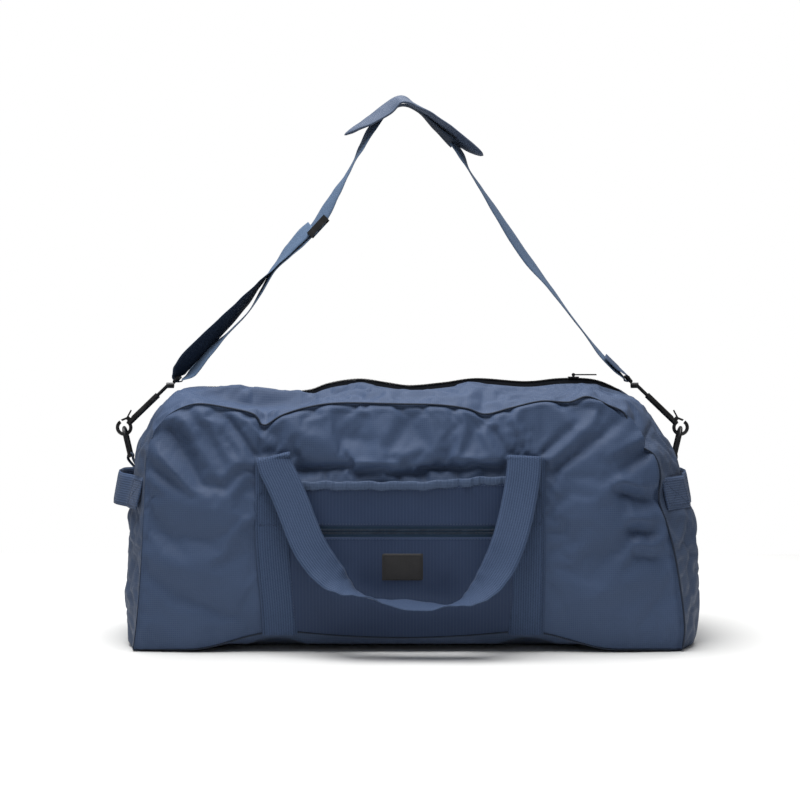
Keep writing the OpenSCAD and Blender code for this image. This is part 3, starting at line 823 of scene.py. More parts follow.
def add_tube(build, path, radius, around=8, shares=None):
    """A round tube along a path with closed ends; shares scales its radius at each point."""
    rows, uv_rows = [], []
    side = None
    for i, (p, t, run) in enumerate(zip(path, directions(path), lengths(path))):
        if side is None:
            side = t.cross(Vector((0, 0, 1)) if abs(t.z) < 0.9 else Vector((1, 0, 0))).normalized()
        side = (side - t * side.dot(t)).normalized()
        rows.append(ring(p, side, t.cross(side), radius * (shares[i] if shares is not None else 1), around))
        uv_rows.append([(2 * math.pi * radius * k / around, run) for k in range(around)])
    build.tube(rows, uv_rows)


def along_path(path, spacing):
    """Points at even steps along a path, with the direction there."""
    out, rest = [], spacing / 2
    for a, b in zip(path, path[1:]):
        length = (b - a).length
        while rest < length:
            out.append((a.lerp(b, rest / length), (b - a).normalized()))
            rest += spacing
        rest -= length
    return out


STITCH, STITCH_R, STITCH_PITCH = 2.3 * MM, 0.32 * MM, 3.2 * MM


def add_stitches(build, path, pitch=STITCH_PITCH):
    """A row of short raised threads along a path."""
    for p, t in along_path(path, pitch):
        side = t.cross(Vector((0.31, 0.77, 0.55))).normalized()
        rows = [ring(p + t * (s * STITCH), side, t.cross(side), STITCH_R * r, 5)
                for s, r in ((-0.5, 0.25), (-0.3, 0.95), (0.3, 0.95), (0.5, 0.25))]
        build.tube(rows, [[(0.0002 * k, 0.001 * j) for k in range(5)] for j in range(4)])


# a rectangle with both diagonals, drawn without lifting the needle: (across, along), each -1 or 1
CROSS = ((-1, -1), (1, -1), (1, 1), (-1, 1), (-1, -1), (1, 1), (1, -1), (-1, 1))


def dress(obj, slot, *nodes):
    """obj stands for CAD nodes, which are hidden. slot is not used."""
    if nodes:
        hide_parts(*nodes)
    return obj


def put(obj, body, slot, *nodes):
    """obj rides on a body."""
    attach(obj, body)
    return dress(obj, slot, *nodes)


# -------- shell pieces

shell_verts, shell_ids = weld(fine)
GROUPS = {"front": ("front",), "rear": ("rear",), "hull": ("top", "right", "left", "base")}


def normals_of(names):
    """Smooth normals over the given patches only, so the seams between groups stay crisp."""
    out = np.zeros_like(shell_verts)
    f = faces_of(shell_ids, names)
    p = shell_verts[f]
    n = np.cross(p[:, 2] - p[:, 0], p[:, 3] - p[:, 1])
    for k in range(4):
        np.add.at(out, f[:, k], n)
    return out / np.maximum(np.linalg.norm(out, axis=1)[:, None], 1e-12)


group_normals = {key: normals_of(names) for key, names in GROUPS.items()}


def columns_from_middle(name):
    """For each face of a strip patch, the coarse columns from it to the middle, and its side."""
    j = np.arange(shell_ids[name].shape[0] - 1) // 2
    q = np.where(j < MID, MID - 1 - j, j - MID)
    return q[:, None], np.where(j < MID, -1, 1)[:, None]


def shell_piece(name, material, *picks):
    """Each pick is (patch, mask of its faces). Vertices are shared exactly with the neighbouring pieces."""
    group = next(key for key, names in GROUPS.items() if picks[0][0] in names)
    faces, uv_of = [], {}
    for patch, mask in picks:
        q = quads(shell_ids[patch], patch in REVERSED)
        faces.append(q[np.broadcast_to(mask, q.shape[:2])])
        a, b = UV_AXES[patch]
        for v, p in zip(shell_ids[patch].ravel(), fine_rest[patch].reshape(-1, 3)):
            uv_of.setdefault(int(v), (p[a], p[b]))
    faces = np.concatenate(faces)
    used, local = np.unique(faces, return_inverse=True)
    return add_mesh(name, shell_verts[used], local.reshape(-1, 4), material, [uv_of[int(v)] for v in used],
                    group_normals[group][used])


SEAM_Y = min(abs(float(fine[n][0, :, 1].max())) for n in ("top", "right", "left"))
MOUTH_Y = 15.5 * MM             # the fabric beside the zip moves with the mouth from here
MOUTH_EASE = 150 * MM           # the mouth closes over this length at either end of the zip
END_BARE = 53 * MM              # the ends of the bag beyond the zip's end tapes


def bend(obj, side, slot, *nodes):
    """The fabric between the belt and a large panel follows both."""
    body = "front" if side < 0 else "rear"
    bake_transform(obj, "root", body, start=(0, side * BELT_Y, 0), end=(0, side * SEAM_Y, 0))
    return dress(obj, slot, *nodes)


def mouth(obj, side, slot, *nodes):
    """The mouth opens in the shape of a lens: nothing moves at the ends of the zip."""
    body = "mouth_front" if side < 0 else "mouth_rear"
    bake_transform(obj, "root", body, start=(0, side * BELT_Y, 0), end=(0, side * MOUTH_Y, 0))
    layer = obj.data.attributes["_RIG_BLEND"].data
    for v, item in zip(obj.data.vertices, layer):
        item.value *= smooth((ZIP_HALF_L - abs(v.co.x)) / MOUTH_EASE)
    return dress(obj, slot, *nodes)


for _, word in SIDES:
    skin = shell_piece(f"{word}_panel_skin", NYLON, (word, np.ones((1, 1), bool)))
    put(skin, word, "nylon", f"{word}_panel")

q_top, s_top = columns_from_middle("top")
q_side, s_side = columns_from_middle("right")
q_base, s_base = columns_from_middle("base")
rest_x = fine_rest["top"][..., 0]
x_top = (rest_x[:-1, :-1] + rest_x[1:, 1:]) / 2
in_zip, in_end = np.abs(x_top) < ZIP_HALF_L, np.abs(x_top) < HALF_L - END_BARE
tape_top = q_top < TAPE_COLUMN

for side, word in SIDES:
    outer_top = (q_top >= BELT_COLUMN) & (s_top == side)
    outer_side = (q_side >= BELT_COLUMN) & (s_side == side)
    outer_base = (q_base >= BELT_COLUMN) & (s_base == side)
    lip_top = (q_top < BELT_COLUMN) & ~tape_top & (s_top == side) & in_zip
    bend(shell_piece(f"gusset_{word}_skin", NYLON, ("top", outer_top)), side, "nylon", f"gusset_{word}")
    for _, hand in HANDS:
        end = shell_piece(f"end_{hand}_{word}_skin", NYLON_SIDE, (hand, outer_side))
        bend(end, side, "nylon", f"end_{hand}_{word}")
    bend(shell_piece(f"base_{word}_skin", NYLON_SIDE, ("base", outer_base)), side, "nylon", f"base_{word}")
    mouth(shell_piece(f"placket_{word}_skin", NYLON, ("top", lip_top)), side, "nylon", f"placket_{word}")
    tape = shell_piece(f"zip_tape_{word}", ZIP_BLACK, ("top", tape_top & (s_top == side) & in_zip))
    mouth(tape, side, "zip_tape", f"zip_{word}")

for sign, hand in HANDS:
    beyond = (np.sign(x_top) == sign) & ~in_zip
    belt_top = (q_top < BELT_COLUMN) & beyond & ~(tape_top & in_end)
    skin = shell_piece(f"end_center_{hand}_skin", NYLON_SIDE, (hand, q_side < BELT_COLUMN), ("top", belt_top))
    put(skin, "root", "nylon", f"end_center_{hand}")
    stop = shell_piece(f"zip_end_tape_{hand}", ZIP_BLACK, ("top", tape_top & beyond & in_end))
    put(stop, "root", "zip_tape", f"zip_end_{hand}")
skin = shell_piece("base_center_skin", NYLON_SIDE, ("base", q_base < BELT_COLUMN))
put(skin, "root", "nylon", "base_center")


# -------- points on the fabric

def tree_of(*names):
    return BVHTree.FromPolygons([Vector(v) for v in shell_verts], faces_of(shell_ids, names).tolist())


panel_tree = {-1: tree_of("front"), 1: tree_of("rear")}
hull_tree = tree_of("top", "right", "left", "base")
top_tree = tree_of("top")
FAR = 0.4


def on_panel(x, z, side=-1, out=0.0):
    """The point of the front (side -1) or rear (1) panel at x, z, moved outwards."""
    hit = panel_tree[side].ray_cast(Vector((x, side * FAR, z)), Vector((0, -side, 0)))[0]
    if hit is None:
        hit = panel_tree[side].find_nearest(Vector((x, side * PANEL_Y, z)))[0]
        hit = Vector((x, hit.y, z))
    return hit + Vector((0, side * out, 0))


def on_end(sign, y, z, out=0.0):
    """The point of the left (sign -1) or right (1) end at y, z, moved outwards."""
    hit = hull_tree.ray_cast(Vector((sign * FAR, y, z)), Vector((-sign, 0, 0)))[0]
    return (hit or Vector((sign * HALF_L, y, z))) + Vector((sign * out, 0, 0))


def on_top(x, y):
    return top_tree.ray_cast(Vector((x, y, FAR)), Vector((0, 0, -1)))[0] or Vector((x, y, RIDGE_Z))


# -------- seams and webbing of the large panels

SEAM_R = 1.0 * MM
WEB_T = 2.0 * MM
WEB_FOOT_Z = 19 * MM
WEB_TOP_Z = FOLD_Z + 5 * MM     # the fold at the top stands a little over the handle's hinge
WEB_STAND = 3 * MM              # how far the free top end stands off the panel
SEW_TOP_Z, SEW_HIGH = 174 * MM, 34 * MM  # the webbing is sewn down below this height, with a cross this high
STITCH_LIFT, CROSS_LIFT = 0.1 * MM, 0.15 * MM
# middle of each piece of webbing at its top and its foot
WEB_LEAN = {(-1, -1): (-139.5 * MM, -132.5 * MM)}
WEB_STEPS, CROSS_STEPS = 56, 8


def add_seam(side, word):
    """A piped seam round a large panel; its near-black colour is painted shade for the shadow line under the
    seam's edge.
    """
    g = fine[word]
    line = list(g[0]) + list(g[1:, -1]) + list(g[-1, -2::-1]) + list(g[-2:0:-1, 0]) + list(g[0, :2])
    line = [Vector(p) + Vector((0, side * SEAM_R * 0.4, 0)) for p in line]
    seam = Builder()
    add_tube(seam, line, SEAM_R, 7, loud_seam(np.array([tuple(p) for p in line])).tolist())
    put(seam.make(f"{word}_seam", PIPING_PAINTED_SHADE), word, "piping", f"{word}_piping")


def add_web(side, word, sign, hand):
    """Webbing that carries a handle's leg, sewn down along its edges and with a cross at the top."""
    top_x, foot_x = WEB_LEAN.get((side, sign), (sign * 134 * MM, sign * 133 * MM))
    zs = steps(WEB_FOOT_Z, WEB_TOP_Z, WEB_STEPS)
    xs = [foot_x + (top_x - foot_x) * smooth((z - WEB_FOOT_Z) / 0.12) for z in zs]
    stand = [WEB_STAND * smooth((z - SEW_TOP_Z) / (WEB_TOP_Z - SEW_TOP_Z)) + 1.2 * MM for z in zs]
    path = smoothed([on_panel(x, z, side, s) for x, z, s in zip(xs, zs, stand)], 4)
    slopes = [on_panel(x + 0.014, z, side) - on_panel(x - 0.014, z, side) for x, z in zip(xs, zs)]
    sides = smoothed([s.normalized() for s in slopes], 3)
    web, sewing = Builder(), Builder()
    add_ribbon(web, path, sides, 2 * WEB_HALF, WEB_T)
    put(web.make(f"{word}_web_{hand}", WEBBING), word, "webbing", f"{word}_web_{hand}")
    out = Vector((0, side * (WEB_T / 2 + STITCH_LIFT), 0))
    for edge in (-1, 1):
        inset = edge * (WEB_HALF - 2.4 * MM)
        add_stitches(sewing, [p + s * inset + out for p, s, z in zip(path, sides, zs) if z < SEW_TOP_Z])
    out = Vector((0, side * (WEB_T / 2 + CROSS_LIFT), 0))
    cross = []
    for across_way, up in CROSS:
        z = SEW_TOP_Z - (SEW_HIGH if up < 0 else 0)
        k = min(range(len(zs)), key=lambda i: abs(zs[i] - z))
        cross.append(path[k] + sides[k] * (across_way * (WEB_HALF - 4.5 * MM)) + out)
    for a, b in zip(cross, cross[1:]):
        add_stitches(sewing, steps(a, b, CROSS_STEPS))
    put(sewing.make(f"{word}_web_{hand}_sewing", THREAD), word, "webbing")


for side, word in SIDES:
    add_seam(side, word)
for side, word in SIDES:
    for sign, hand in HANDS:
        add_web(side, word, sign, hand)


# -------- pocket

POCKET_HALF = WEB_X - WEB_HALF + 4 * MM
POCKET_FOOT_Z = 20 * MM
ZIP_LOW, ZIP_HIGH = pocket_zip_lo.z, pocket_zip_hi.z
ZIP_MID_Z = (ZIP_LOW + ZIP_HIGH) / 2
TAPE_IN, COIL_IN, COIL_APART = 1.1 * MM, 0.5 * MM, 1.7 * MM


def hem_height(x):
    """The pocket's gathered top hem rises a little to the right."""
    wave = 0.9 * MM * math.sin(x * 210) * math.sin(x * 57)
    return POCKET_TOP_Z - 1 * MM + 5 * MM * smooth((x - 0.01) / 0.09) + wave


def pocket_point(x, z, out=0.0):
    """The pocket stands a little off the panel and sags between the webbing straps."""
    u = x / POCKET_HALF
    belly = max(1 - u * u, 0) ** 0.5
    top = hem_height(x)
    rise = 1.5 * MM + 3.0 * MM * belly * smooth((z - POCKET_FOOT_Z) / 0.05)
    tug = 0.9 * MM * noise.noise(Vector((x * 26, z * 9, 3.1))) * belly
    tug += 0.4 * MM * noise.noise(Vector((x * 75, z * 30, 8.2)))
    gather = 0.35 * MM * math.sin(x * 620 + 2.4 * math.sin(x * 90)) * bump(z - top, 0.012)
    slack = 3.0 * MM * bump(z - top, 0.016) * belly
    return on_panel(x, z, -1, rise + tug + gather + slack + out)


def pocket_xs(n):
    return steps(-POCKET_HALF, POCKET_HALF, n)


def pocket_sheet(z_low, z_high, columns_n, rows_n, turn_bottom=False):
    """Pocket fabric between two heights given as functions of x; turned edges roll back to the panel."""
    xs = pocket_xs(columns_n)
    places = [[(x, z_low(x) * (1 - f) + z_high(x) * f) for x in xs] for f in steps(0, 1, rows_n)]
    rows = [[pocket_point(x, z) for x, z in row] for row in places]

    def roll(edge, uv_edge, way):
        """A small half-round turn of the fabric behind its edge."""
        turns = enumerate(((0.5, 0.6), (0.95, 1.7), (0.7, 3.0), (-1.5, 4.5)))
        return [([p + Vector((0, drop * MM, way * a * MM)) for p in edge],
                 [(u, v + way * 0.001 * (k + 1)) for u, v in uv_edge]) for k, (a, drop) in turns]
    over = roll(rows[-1], places[-1], 1)
    under = roll(rows[0], places[0], -1)[::-1] if turn_bottom else []
    sheet = Builder()
    sheet.grid([row for row, _ in under] + rows + [row for row, _ in over],
               [uv for _, uv in under] + places + [uv for _, uv in over])
    return sheet


def pocket_foot(x):
    return max(POCKET_FOOT_Z - 3 * MM, seam_height(x) + 1 * MM)


lower = pocket_sheet(pocket_foot, lambda x: ZIP_LOW, 150, 44)
upper = pocket_sheet(lambda x: ZIP_HIGH, lambda x: hem_height(x) - 3 * MM, 220, 24, turn_bottom=True)
put(lower.make("pocket_lower_skin", NYLON_POCKET), "front", "nylon", "pocket_lower")
put(upper.make("pocket_upper_skin", NYLON_POCKET), "front", "nylon", "pocket_upper")

HEM_HALF, HEM_FAT, HEM_AROUND, HEM_STEPS = 4.6 * MM, 1.7 * MM, 16, 400


def hem_ring(x):
    """The hem is a flattened roll with small, close puckers: its points and their uvs at x."""
    middle = pocket_point(x, hem_height(x) - HEM_HALF, 0.4 * MM)
    row, uv_row = [], []
    for a in turn(HEM_AROUND):
        s = math.sin(a)
        pucker = 1 + 0.16 * math.sin(x * 1500 + 1.5 * math.sin(x * 140)) * (1 if abs(s) < 0.9 else 0.3)
        pucker += 0.1 * noise.noise(Vector((x * 160, a, 2.0)))
        high = HEM_HALF * math.copysign(abs(s) ** 0.7, s)
        row.append(middle + Vector((0, -HEM_FAT * pucker * math.cos(a), high)))
        uv_row.append((x, middle.z + HEM_HALF * s))
    return row, uv_row


hem, hem_reach = Builder(), POCKET_HALF - 2 * MM
hem.grid(*zip(*(hem_ring(x) for x in steps(-hem_reach, hem_reach, HEM_STEPS))), closed=True, turned=True)
# the hem's lighter fabric colour is painted light on its rolled top
put(hem.make("pocket_hem", NYLON_HEM_PAINTED_LIGHT), "front", "nylon")

sewing, reach = Builder(), POCKET_HALF - 5 * MM
for z_of, out in ((lambda x: ZIP_LOW - 1.6 * MM, 0.2), (lambda x: ZIP_HIGH + 1.6 * MM, 0.2),
                  (lambda x: hem_height(x) - 9.6 * MM, 0.3)):
    add_stitches(sewing, [pocket_point(x, z_of(x), out * MM) for x in steps(-reach, reach, 120)])
put(sewing.make("pocket_sewing", THREAD), "front", "nylon")


def add_coil(build, path, outwards, radius, wire, pitch):
    """A coil of nylon wire running along a path."""
    dense = even(path, max(int(lengths(path)[-1] / pitch * 7), 8))
    wound = []
    for k, (p, t) in enumerate(zip(dense, directions(dense))):
        other = t.cross(outwards).normalized()
        a = 2 * math.pi * k / 7
        wound.append(p + outwards * (radius * 0.7 * math.cos(a)) + other * (radius * math.sin(a)))
    add_tube(build, wound, wire, 5)


tape, coil = Builder(), Builder()
rows = [[pocket_point(x, z, -TAPE_IN) for x in pocket_xs(80)]
        for z in steps(ZIP_LOW - 2 * MM, ZIP_HIGH + 2 * MM, 8)]
tape.grid(rows, [[(p.x, p.z) for p in row] for row in rows])
for way in (-1, 1):
    line = [pocket_point(x, ZIP_MID_Z + way * COIL_APART, -COIL_IN) for x in pocket_xs(80)]
    add_coil(coil, line, Vector((0, -1, 0)), 1.05 * MM, 0.42 * MM, 1.5 * MM)
put(tape.make("pocket_zip_tape", ZIP_NAVY), "front", "zip_tape", "pocket_zip")
put(coil.make("pocket_zip_coil", COIL_NAVY), "front", "zip_tape")

# ---- the label patch: a blank stamped plate, sewn round its edge

LABEL_T, LABEL_EDGE, LABEL_N, LABEL_INSET = 1.4 * MM, 0.8 * MM, 22, 2 * MM
middle, half_size = (label_lo + label_hi) / 2, (label_hi - label_lo) / 2


def label_point(a, b, lift, inset=0.0):
    x, z = middle.x + (half_size.x - inset) * a, middle.z + (half_size.z - inset) * b
    return pocket_point(x, z, lift), (x, z)


def label_lift(a, b):
    """The plate's edge is rounded, and a shallow groove runs round it."""
    from_edge = min(half_size.x * (1 - abs(a)), half_size.z * (1 - abs(b)))
    rounded = LABEL_T * min(from_edge / LABEL_EDGE, 1) ** 0.5
    return rounded - 0.25 * MM * bump(from_edge - LABEL_INSET, 0.9 * MM)


label, edge = Builder(), Builder()
grid = [[label_point(a, b, label_lift(a, b)) for a in steps(-1, 1, LABEL_N)] for b in steps(-1, 1, LABEL_N)]
label.grid([[p for p, _ in row] for row in grid], [[uv for _, uv in row] for row in grid])
put(label.make("label_plate", PATCH), "front", "label", "label_patch")
for (a, b), (c, d) in zip(CROSS[:4], CROSS[1:5]):
    places = zip(steps(a, c, 10), steps(b, d, 10))
    add_stitches(edge, [label_point(s, t, LABEL_T - 0.1 * MM, LABEL_INSET)[0] for s, t in places], 2.7 * MM)
put(edge.make("label_sewing", PATCH), "front", "label")


# -------- teeth of the main zip

TEETH_Y, TEETH_UP, END_TEETH = 1.9 * MM, 0.9 * MM, 45 * MM


def add_teeth(build, side, start, end, n):
    line = [on_top(x, side * TEETH_Y) + Vector((0, 0, TEETH_UP)) for x in steps(start, end, n)]
    add_coil(build, line, Vector((0, 0, 1)), 1.35 * MM, 0.5 * MM, 1.6 * MM)


for side, word in SIDES:
    teeth = Builder()
    add_teeth(teeth, side, -ZIP_HALF_L, ZIP_HALF_L, 120)
    mouth(teeth.make(f"zip_coil_{word}", COIL_BLACK), side, "zip_tape")
for sign, hand in HANDS:
    teeth = Builder()
    for side, _ in SIDES:
        add_teeth(teeth, side, sign * ZIP_HALF_L, sign * (ZIP_HALF_L + END_TEETH), 20)
    put(teeth.make(f"zip_end_coil_{hand}", COIL_BLACK), "root", "zip_tape")


# -------- carry handles

# middle of the webbing in the hanging plane, seen from the front: x and depth under the fold in mm, angle of
# its flat side to that plane in degrees (0 faces the front), and how far it stands out of the plane in mm
FRONT_HANDLE = [
    (-138.5, -5, 0, 0), (-135, 6, -1, 0), (-128, 20, -2, 0), (-117.5, 44, -3, 0), (-109, 66, -4, 0),
    (-99.5, 88, -6, 0), (-88, 106, -12, -1), (-75, 121, -26, -2), (-62, 132, -52, -3), (-49, 139, -74, -4),
    (-34, 144, -85, -5), (-18, 148, -74, -6), (4, 151, -64, -6), (28, 153, -68, -6), (48, 152, -82, -5),
    (60, 149.5, -74, -4), (71, 145, -58, -3), (83, 136, -42, -2), (94, 123, -26, 0), (104, 106, -14, 1),
    (112, 87, -8, 2), (119.5, 62, -4, 1), (126, 32, -1, 0), (129.5, 10, 0, 0), (130.5, -5, 0, 0)]
REAR_HANDLE = [
    (-135, -5, 0, 0), (-134, 24, 2, 0), (-129, 50, 4, 0), (-118, 80, 7, 1), (-101, 108, 14, 2),
    (-80, 130, 34, 4), (-54, 146, 58, 5), (-26, 155, 72, 5), (2, 158, 64, 5), (32, 155, 70, 5),
    (58, 145, 54, 5), (82, 129, 30, 4), (102, 106, 14, 2), (119, 78, 6, 1), (130, 48, 3, 0), (133, 24, 1, 0),
    (134, -5, 0, 0)]
HANDLE_TILT = math.radians(16)  # how far the handles hang away from the panels
TURN_R, TURN_TAIL = 2.6 * MM, 7 * MM  # the webbing's turn over the fold, and its end behind it


def fold_over(end, side):
    """The short turn over the top, from the hanging leg to the sewn webbing."""
    angles = [math.radians(a) for a in (20, 55, 90, 125, 160, 190)]
    middle = end + Vector((0, -side * TURN_R, 0))
    over = [middle + TURN_R * Vector((0, side * math.cos(a), math.sin(a))) for a in angles]
    return over + [over[-1] + Vector((0, 0, -TURN_TAIL))]


def carry_handle(word, knots, side):
    down = Vector((0, side * math.sin(HANDLE_TILT), -math.cos(HANDLE_TILT)))
    out = Vector((0, side * math.cos(HANDLE_TILT), math.sin(HANDLE_TILT)))
    top = Vector((0, side * abs(HANDLE_Y), FOLD_Z - 1 * MM))
    curve = spline([(x * MM, d * MM, w * MM) for x, d, _, w in knots], 170)
    angles = [angle_at([(x, a) for x, _, a, _ in knots], p.x / MM) for p in curve]
    path = [top + Vector((p.x, 0, 0)) + down * p.y + out * (p.z + 1.2 * MM) for p in curve]
    flat = [out.cross(t).normalized() for t in directions(path)]
    sides = [way * math.cos(a) + out * math.sin(a) for way, a in zip(flat, angles)]
    first, last = fold_over(path[0], side), fold_over(path[-1], side)
    path = first[::-1] + path + last
    sides = [sides[0]] * len(first) + sides + [sides[-1]] * len(last)
    build = Builder()
    add_ribbon(build, path, sides, 2 * WEB_HALF - 1 * MM, WEB_T, across_n=10)
    put(build.make(f"{word}_handle_webbing", WEBBING), f"{word}_handle", "webbing", f"{word}_handle")


carry_handle("front", FRONT_HANDLE, -1)
carry_handle("rear", REAR_HANDLE, 1)


# -------- grab handles on the ends

GRAB_SEWN_Y, GRAB_FREE_Y = 100 * MM, 66 * MM  # the webbing is sewn down between these, and free in the middle
GRAB_OUT = 2.8 * MM             # how far the sewn webbing lies off the end


def grab_half(sign, hand, side, word):
    """Half of a grab handle, from the middle to its sewn end."""
    lo, hi = box(f"grab_{hand}")
    reach, z0 = max(abs(lo.x), abs(hi.x)) - 2 * MM, (lo.z + hi.z) / 2
    tip = Vector((sign * reach, 0, z0 + 2 * MM))
    beside = Vector((sign * -0.6 * MM, side * 24 * MM, 0))
    sewn = (GRAB_SEWN_Y + 10 * MM, GRAB_SEWN_Y, 84 * MM, GRAB_FREE_Y)
    knots = [on_end(sign, side * y, z0, GRAB_OUT) for y in sewn]
    knots += [Vector((sign * (reach - 7 * MM), side * 46 * MM, z0 + 1 * MM)), tip + beside, tip,
              tip + Vector((beside.x, -beside.y, 0))]
    path = [p for p in spline(knots, 90) if p.y * side >= -1e-5] + [tip]
    lean = [sign * (0.16 + 0.1 * smooth(abs(p.y) / 0.09)) for p in path]
    sides = [Vector((x, 0.05 * side, -1)).normalized() * side * sign for x in lean]
    band, sewing = Builder(), Builder()
    add_ribbon(band, path, sides, hi.z - lo.z - 2 * MM, WEB_T)
    stands_for = (f"grab_{hand}",) if side < 0 else ()
    bend(band.make(f"grab_{hand}_{word}", WEBBING), side, "webbing", *stands_for)
    out = Vector((sign * (WEB_T / 2 + STITCH_LIFT), side * 0.3 * MM, 0))
    high = (hi.z - lo.z) / 2 - 5 * MM
    ys = {-1: GRAB_SEWN_Y + 7 * MM, 1: GRAB_FREE_Y + 6 * MM}
    for (a, b), (c, d) in zip(CROSS, CROSS[1:]):
        line = []
        for y, z in zip(steps(ys[a], ys[c], CROSS_STEPS), steps(high * b, high * d, CROSS_STEPS)):
            k = min(range(len(path)), key=lambda i: abs(path[i].y * side - y))
            line.append(path[k] - sides[k] * side * sign * z + out)
        add_stitches(sewing, line)
    bend(sewing.make(f"grab_{hand}_{word}_sewing", THREAD), side, "webbing")


for sign, hand in HANDS:
    for side, word in SIDES:
        grab_half(sign, hand, side, word)


# -------- tabs of the D-rings

RING_BAR_X, RING_BAR_Z = 310.07 * MM, 204.93 * MM  # the straight bar of a D-ring
TAB_R, TAB_T = 2.9 * MM, 1.4 * MM

for sign, hand in HANDS:
    lo, hi = box(f"ring_tab_{hand}")
    bar = Vector((sign * RING_BAR_X, 0, RING_BAR_Z))
    foot = on_end(sign, 0, lo.z - 6 * MM, 1.0 * MM)
    knots = [foot, on_end(sign, 0, lo.z + 8 * MM, 1.2 * MM), bar + Vector((-sign * TAB_R, 0, -4 * MM))]
    knots += [bar + TAB_R * Vector((-sign * math.cos(a), 0, math.sin(a))) for a in steps(0, math.pi, 4)]
    knots += [bar + Vector((sign * TAB_R * 0.8, 0, -5 * MM)), on_end(sign, 0, lo.z + 8 * MM, 3.2 * MM),
              foot + Vector((sign * 2.2 * MM, 0, 0))]
    tab = Builder()
    add_ribbon(tab, spline(knots, 70), [Vector((0, 1, 0))] * 70, hi.y - lo.y, TAB_T, across_n=6)
    put(tab.make(f"ring_tab_{hand}_webbing", STRAP), "root", "webbing", f"ring_tab_{hand}")


# -------- shoulder strap

# x and z of the middle of the webbing in mm, and the angle of its flat side in degrees; 0 lies level
UPPER_RUN = [
    (-104, 459, 30), (-96, 468, 34), (-87, 483, 34), (-75, 504, 24), (-63, 524, 12), (-55, 539, 8),
    (-46, 556, 18), (-34, 577, 24), (-16, 594, 6), (0, 603, 0), (18, 596, 0), (38, 577, -8), (58, 559, -18)]
LOWER_RUN = [
    (-252, 289.5, 0), (-255.5, 289.2, 0), (-258.4, 291, -4), (-258.6, 294.6, -14), (-254, 302, -34),
    (-243, 316, -42), (-223, 336, -40), (-202, 357, -34), (-182, 378, -24), (-163, 400, -8), (-145, 421, 12),
    (-128, 441, 28), (-112, 458, 36), (-103, 466, 34)]
RIGHT_RUN = [
    (57, 561, 20), (66, 548, 20), (76, 529, 6), (89, 509, 12), (107, 481, 20), (127, 450, 26), (143, 427, 26),
    (168, 396, 14), (192, 364, 7), (206, 346, 6), (226, 320, 14), (243, 303, 16), (252, 294, 8),
    (253.5, 290.5, 0), (256, 289.6, 0), (258.5, 291.5, 0), (256.5, 296, -2), (250, 301.5, -8),
    (245, 305.5, -14), (231.5, 318.5, -14)]
RETURN_RUN = [
    (-251, 291.5, 6), (-238, 301, 26), (-219, 324, 22), (-195, 348, 6), (-175, 369, 4), (-160, 393, 12),
    (-146, 417, 14), (-128, 433, 12), (-113, 448, 20), (-104, 458, 22)]
PAD_RUN = [
    (-66, 569, 6), (-52, 577, 13), (-36, 586, 19), (-18, 598, 21), (-2, 609.5, 15), (14, 602, 4),
    (34, 587, -7), (56, 570, -13), (76, 556, -13), (92, 546, -8)]
strap_lo, strap_hi = box("strap_left")
STRAP_W, STRAP_T = strap_hi.y - strap_lo.y, 1.5 * MM
Y_AXIS = Vector((0, 1, 0))


def across_strap(t, angle):
    return Y_AXIS * math.cos(angle) + t.cross(Y_AXIS) * math.sin(angle)


def strap_run(name, knots, n, material, *nodes):
    """One run of the strap's webbing through its knots."""
    path = spline([(x * MM, 0, z * MM) for x, z, _ in knots], n)
    run, marks = lengths(path), []
    for x, z, angle in knots:
        p = Vector((x * MM, 0, z * MM))
        marks.append((run[min(range(n), key=lambda i: (path[i] - p).length)], angle))
    sides = [across_strap(t, angle_at(marks, s)) for s, t in zip(run, directions(path))]
    build = Builder()
    add_ribbon(build, path, sides, STRAP_W, STRAP_T, across_n=6)
    return put(build.make(name, material), "strap", "strap_webbing", *nodes)


strap_run("strap_upper_webbing", UPPER_RUN, 150, STRAP, "strap_left")
strap_run("strap_lower_webbing", LOWER_RUN, 170, STRAP)
strap_run("strap_right_webbing", RIGHT_RUN, 190, STRAP_RIGHT, "strap_right")
back = strap_run("strap_return_webbing", RETURN_RUN, 130, STRAP, "strap_return")

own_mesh(back)

# ---- shoulder pad: two wings that fold down over the strap from a soft peak

pad_lo, pad_hi = box("shoulder_pad")
PAD_HALF, PAD_FAT, PAD_STEPS, PAD_AROUND = (pad_hi.y - pad_lo.y) / 2, 2.7 * MM, 90, 28


def pad_ring(p, t, angle, s, run):
    """Points round the pad and their uvs, at share s of its length."""
    w = across_strap(t, angle)
    up = t.cross(w)
    up = up if up.z > 0 else -up
    half = PAD_HALF * max(math.sin(math.pi * min(max(s, 0.0), 1.0)), 0.0) ** 0.42
    half = max(half, 0.6 * MM)
    row, uv_row = [], []
    for b in turn(PAD_AROUND):
        c, q = math.cos(b), math.sin(b)
        e = math.copysign(abs(c) ** 0.75, c)
        fat = PAD_FAT * min(half / 0.012, 1) * (1 - 0.25 * abs(e) ** 6)
        groove = 1.0 - 0.55 * bump(abs(e) - 0.84, 0.05)
        dimple = 0.5 * MM * noise.noise(Vector((s * 16, e * 3, 5.0 + (q > 0))))
        h = math.copysign(abs(q) ** 0.55, q) * (fat * groove) + dimple * (1 - abs(e) ** 4)
        row.append(p + w * (half * e) + up * h)
        uv_row.append((half * e, run))
    return row, uv_row


path = spline([(x * MM, 0, z * MM) for x, z, _ in PAD_RUN], PAD_STEPS)
marks = [(x * MM, a) for x, _, a in PAD_RUN]
run = lengths(path)
rings = [pad_ring(p, t, angle_at(marks, p.x), s / run[-1], s) for p, t, s in zip(path, directions(path), run)]
pad = Builder()
pad.tube(*zip(*rings), turned=True)
put(pad.make("shoulder_pad_cover", PAD), "strap", "nylon", "shoulder_pad")


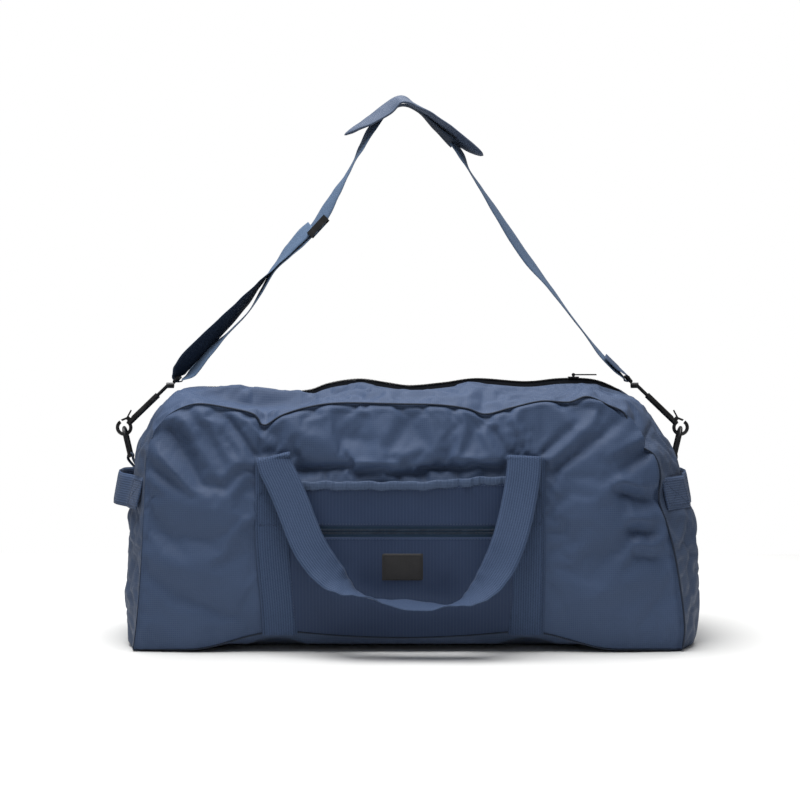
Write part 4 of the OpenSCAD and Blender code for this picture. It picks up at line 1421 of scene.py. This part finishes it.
# -------- hardware kept from the CAD

KEPT = {
    BLACK_METAL: ("main_slider", "main_pull", "pocket_slider", "pocket_pull", "d_ring_left", "d_ring_right",
                  "hook_left", "hook_right", "gate_left", "gate_right", "eye_left", "eye_right"),
    BLACK_PLASTIC: ("strap_glide",),
}
for material, names in KEPT.items():
    for name in names:
        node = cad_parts[name]
        node.data.materials.clear()
        node.data.materials.append(material)


# -------- floor, light and camera

FLOOR_HALF, FLOOR_Z = 0.8, -0.2 * MM
floor = Builder()
floor.grid([[Vector((x * FLOOR_HALF, y * FLOOR_HALF, FLOOR_Z)) for x in (-1, 1)] for y in (-1, 1)],
           [[(0, 0), (1, 0)], [(0, 1), (1, 1)]])
floor.make("floor", PAPER)

# the backdrop is white, and less light than that comes from all round
WHITE, AROUND = 1.0, 0.2
world = bpy.data.worlds.new("studio")
bpy.context.scene.world = world
world.use_nodes = True
tree = world.node_tree
background = tree.nodes["Background"]
background.inputs["Color"].default_value = (1, 1, 1, 1)
seen = tree.nodes.new("ShaderNodeLightPath").outputs["Is Camera Ray"]
strength = tree.nodes.new("ShaderNodeMapRange")
strength.inputs["To Min"].default_value = AROUND
strength.inputs["To Max"].default_value = WHITE
tree.links.new(seen, strength.inputs["Value"])
tree.links.new(strength.outputs["Result"], background.inputs["Strength"])


def soft_box(name, place, aim, width, height, power):
    light = bpy.data.lights.new(name, "AREA")
    light.shape = "RECTANGLE"
    light.size, light.size_y = width, height
    light.energy = power
    obj = bpy.data.objects.new(name, light)
    obj.location = place
    obj.rotation_euler = (Vector(aim) - Vector(place)).to_track_quat("-Z", "Y").to_euler()
    bpy.context.scene.collection.objects.link(obj)


soft_box("key", (-0.35, -0.42, 2.1), (0, -0.1, 0.1), 1.8, 1.2, 62)
soft_box("back_top", (0.3, 0.9, 2.0), (0, 0.1, 0.1), 2.0, 1.2, 24)

CAMERA_AIM, CAMERA_FAR, CAMERA_UP = Vector((-0.0027, -0.135, 0.273)), 2.065, math.radians(2)
camera_data = bpy.data.cameras.new("camera")
camera = bpy.data.objects.new("camera", camera_data)
bpy.context.scene.collection.objects.link(camera)
camera_data.lens, camera_data.sensor_width = 86.8, 36
camera.location = CAMERA_AIM + CAMERA_FAR * Vector((0, -math.cos(CAMERA_UP), math.sin(CAMERA_UP)))
camera.rotation_euler = (CAMERA_AIM - camera.location).to_track_quat("-Z", "Y").to_euler()
bpy.context.scene.camera = camera
bpy.context.scene.view_settings.view_transform = "Standard"

bpy.context.view_layer.update()
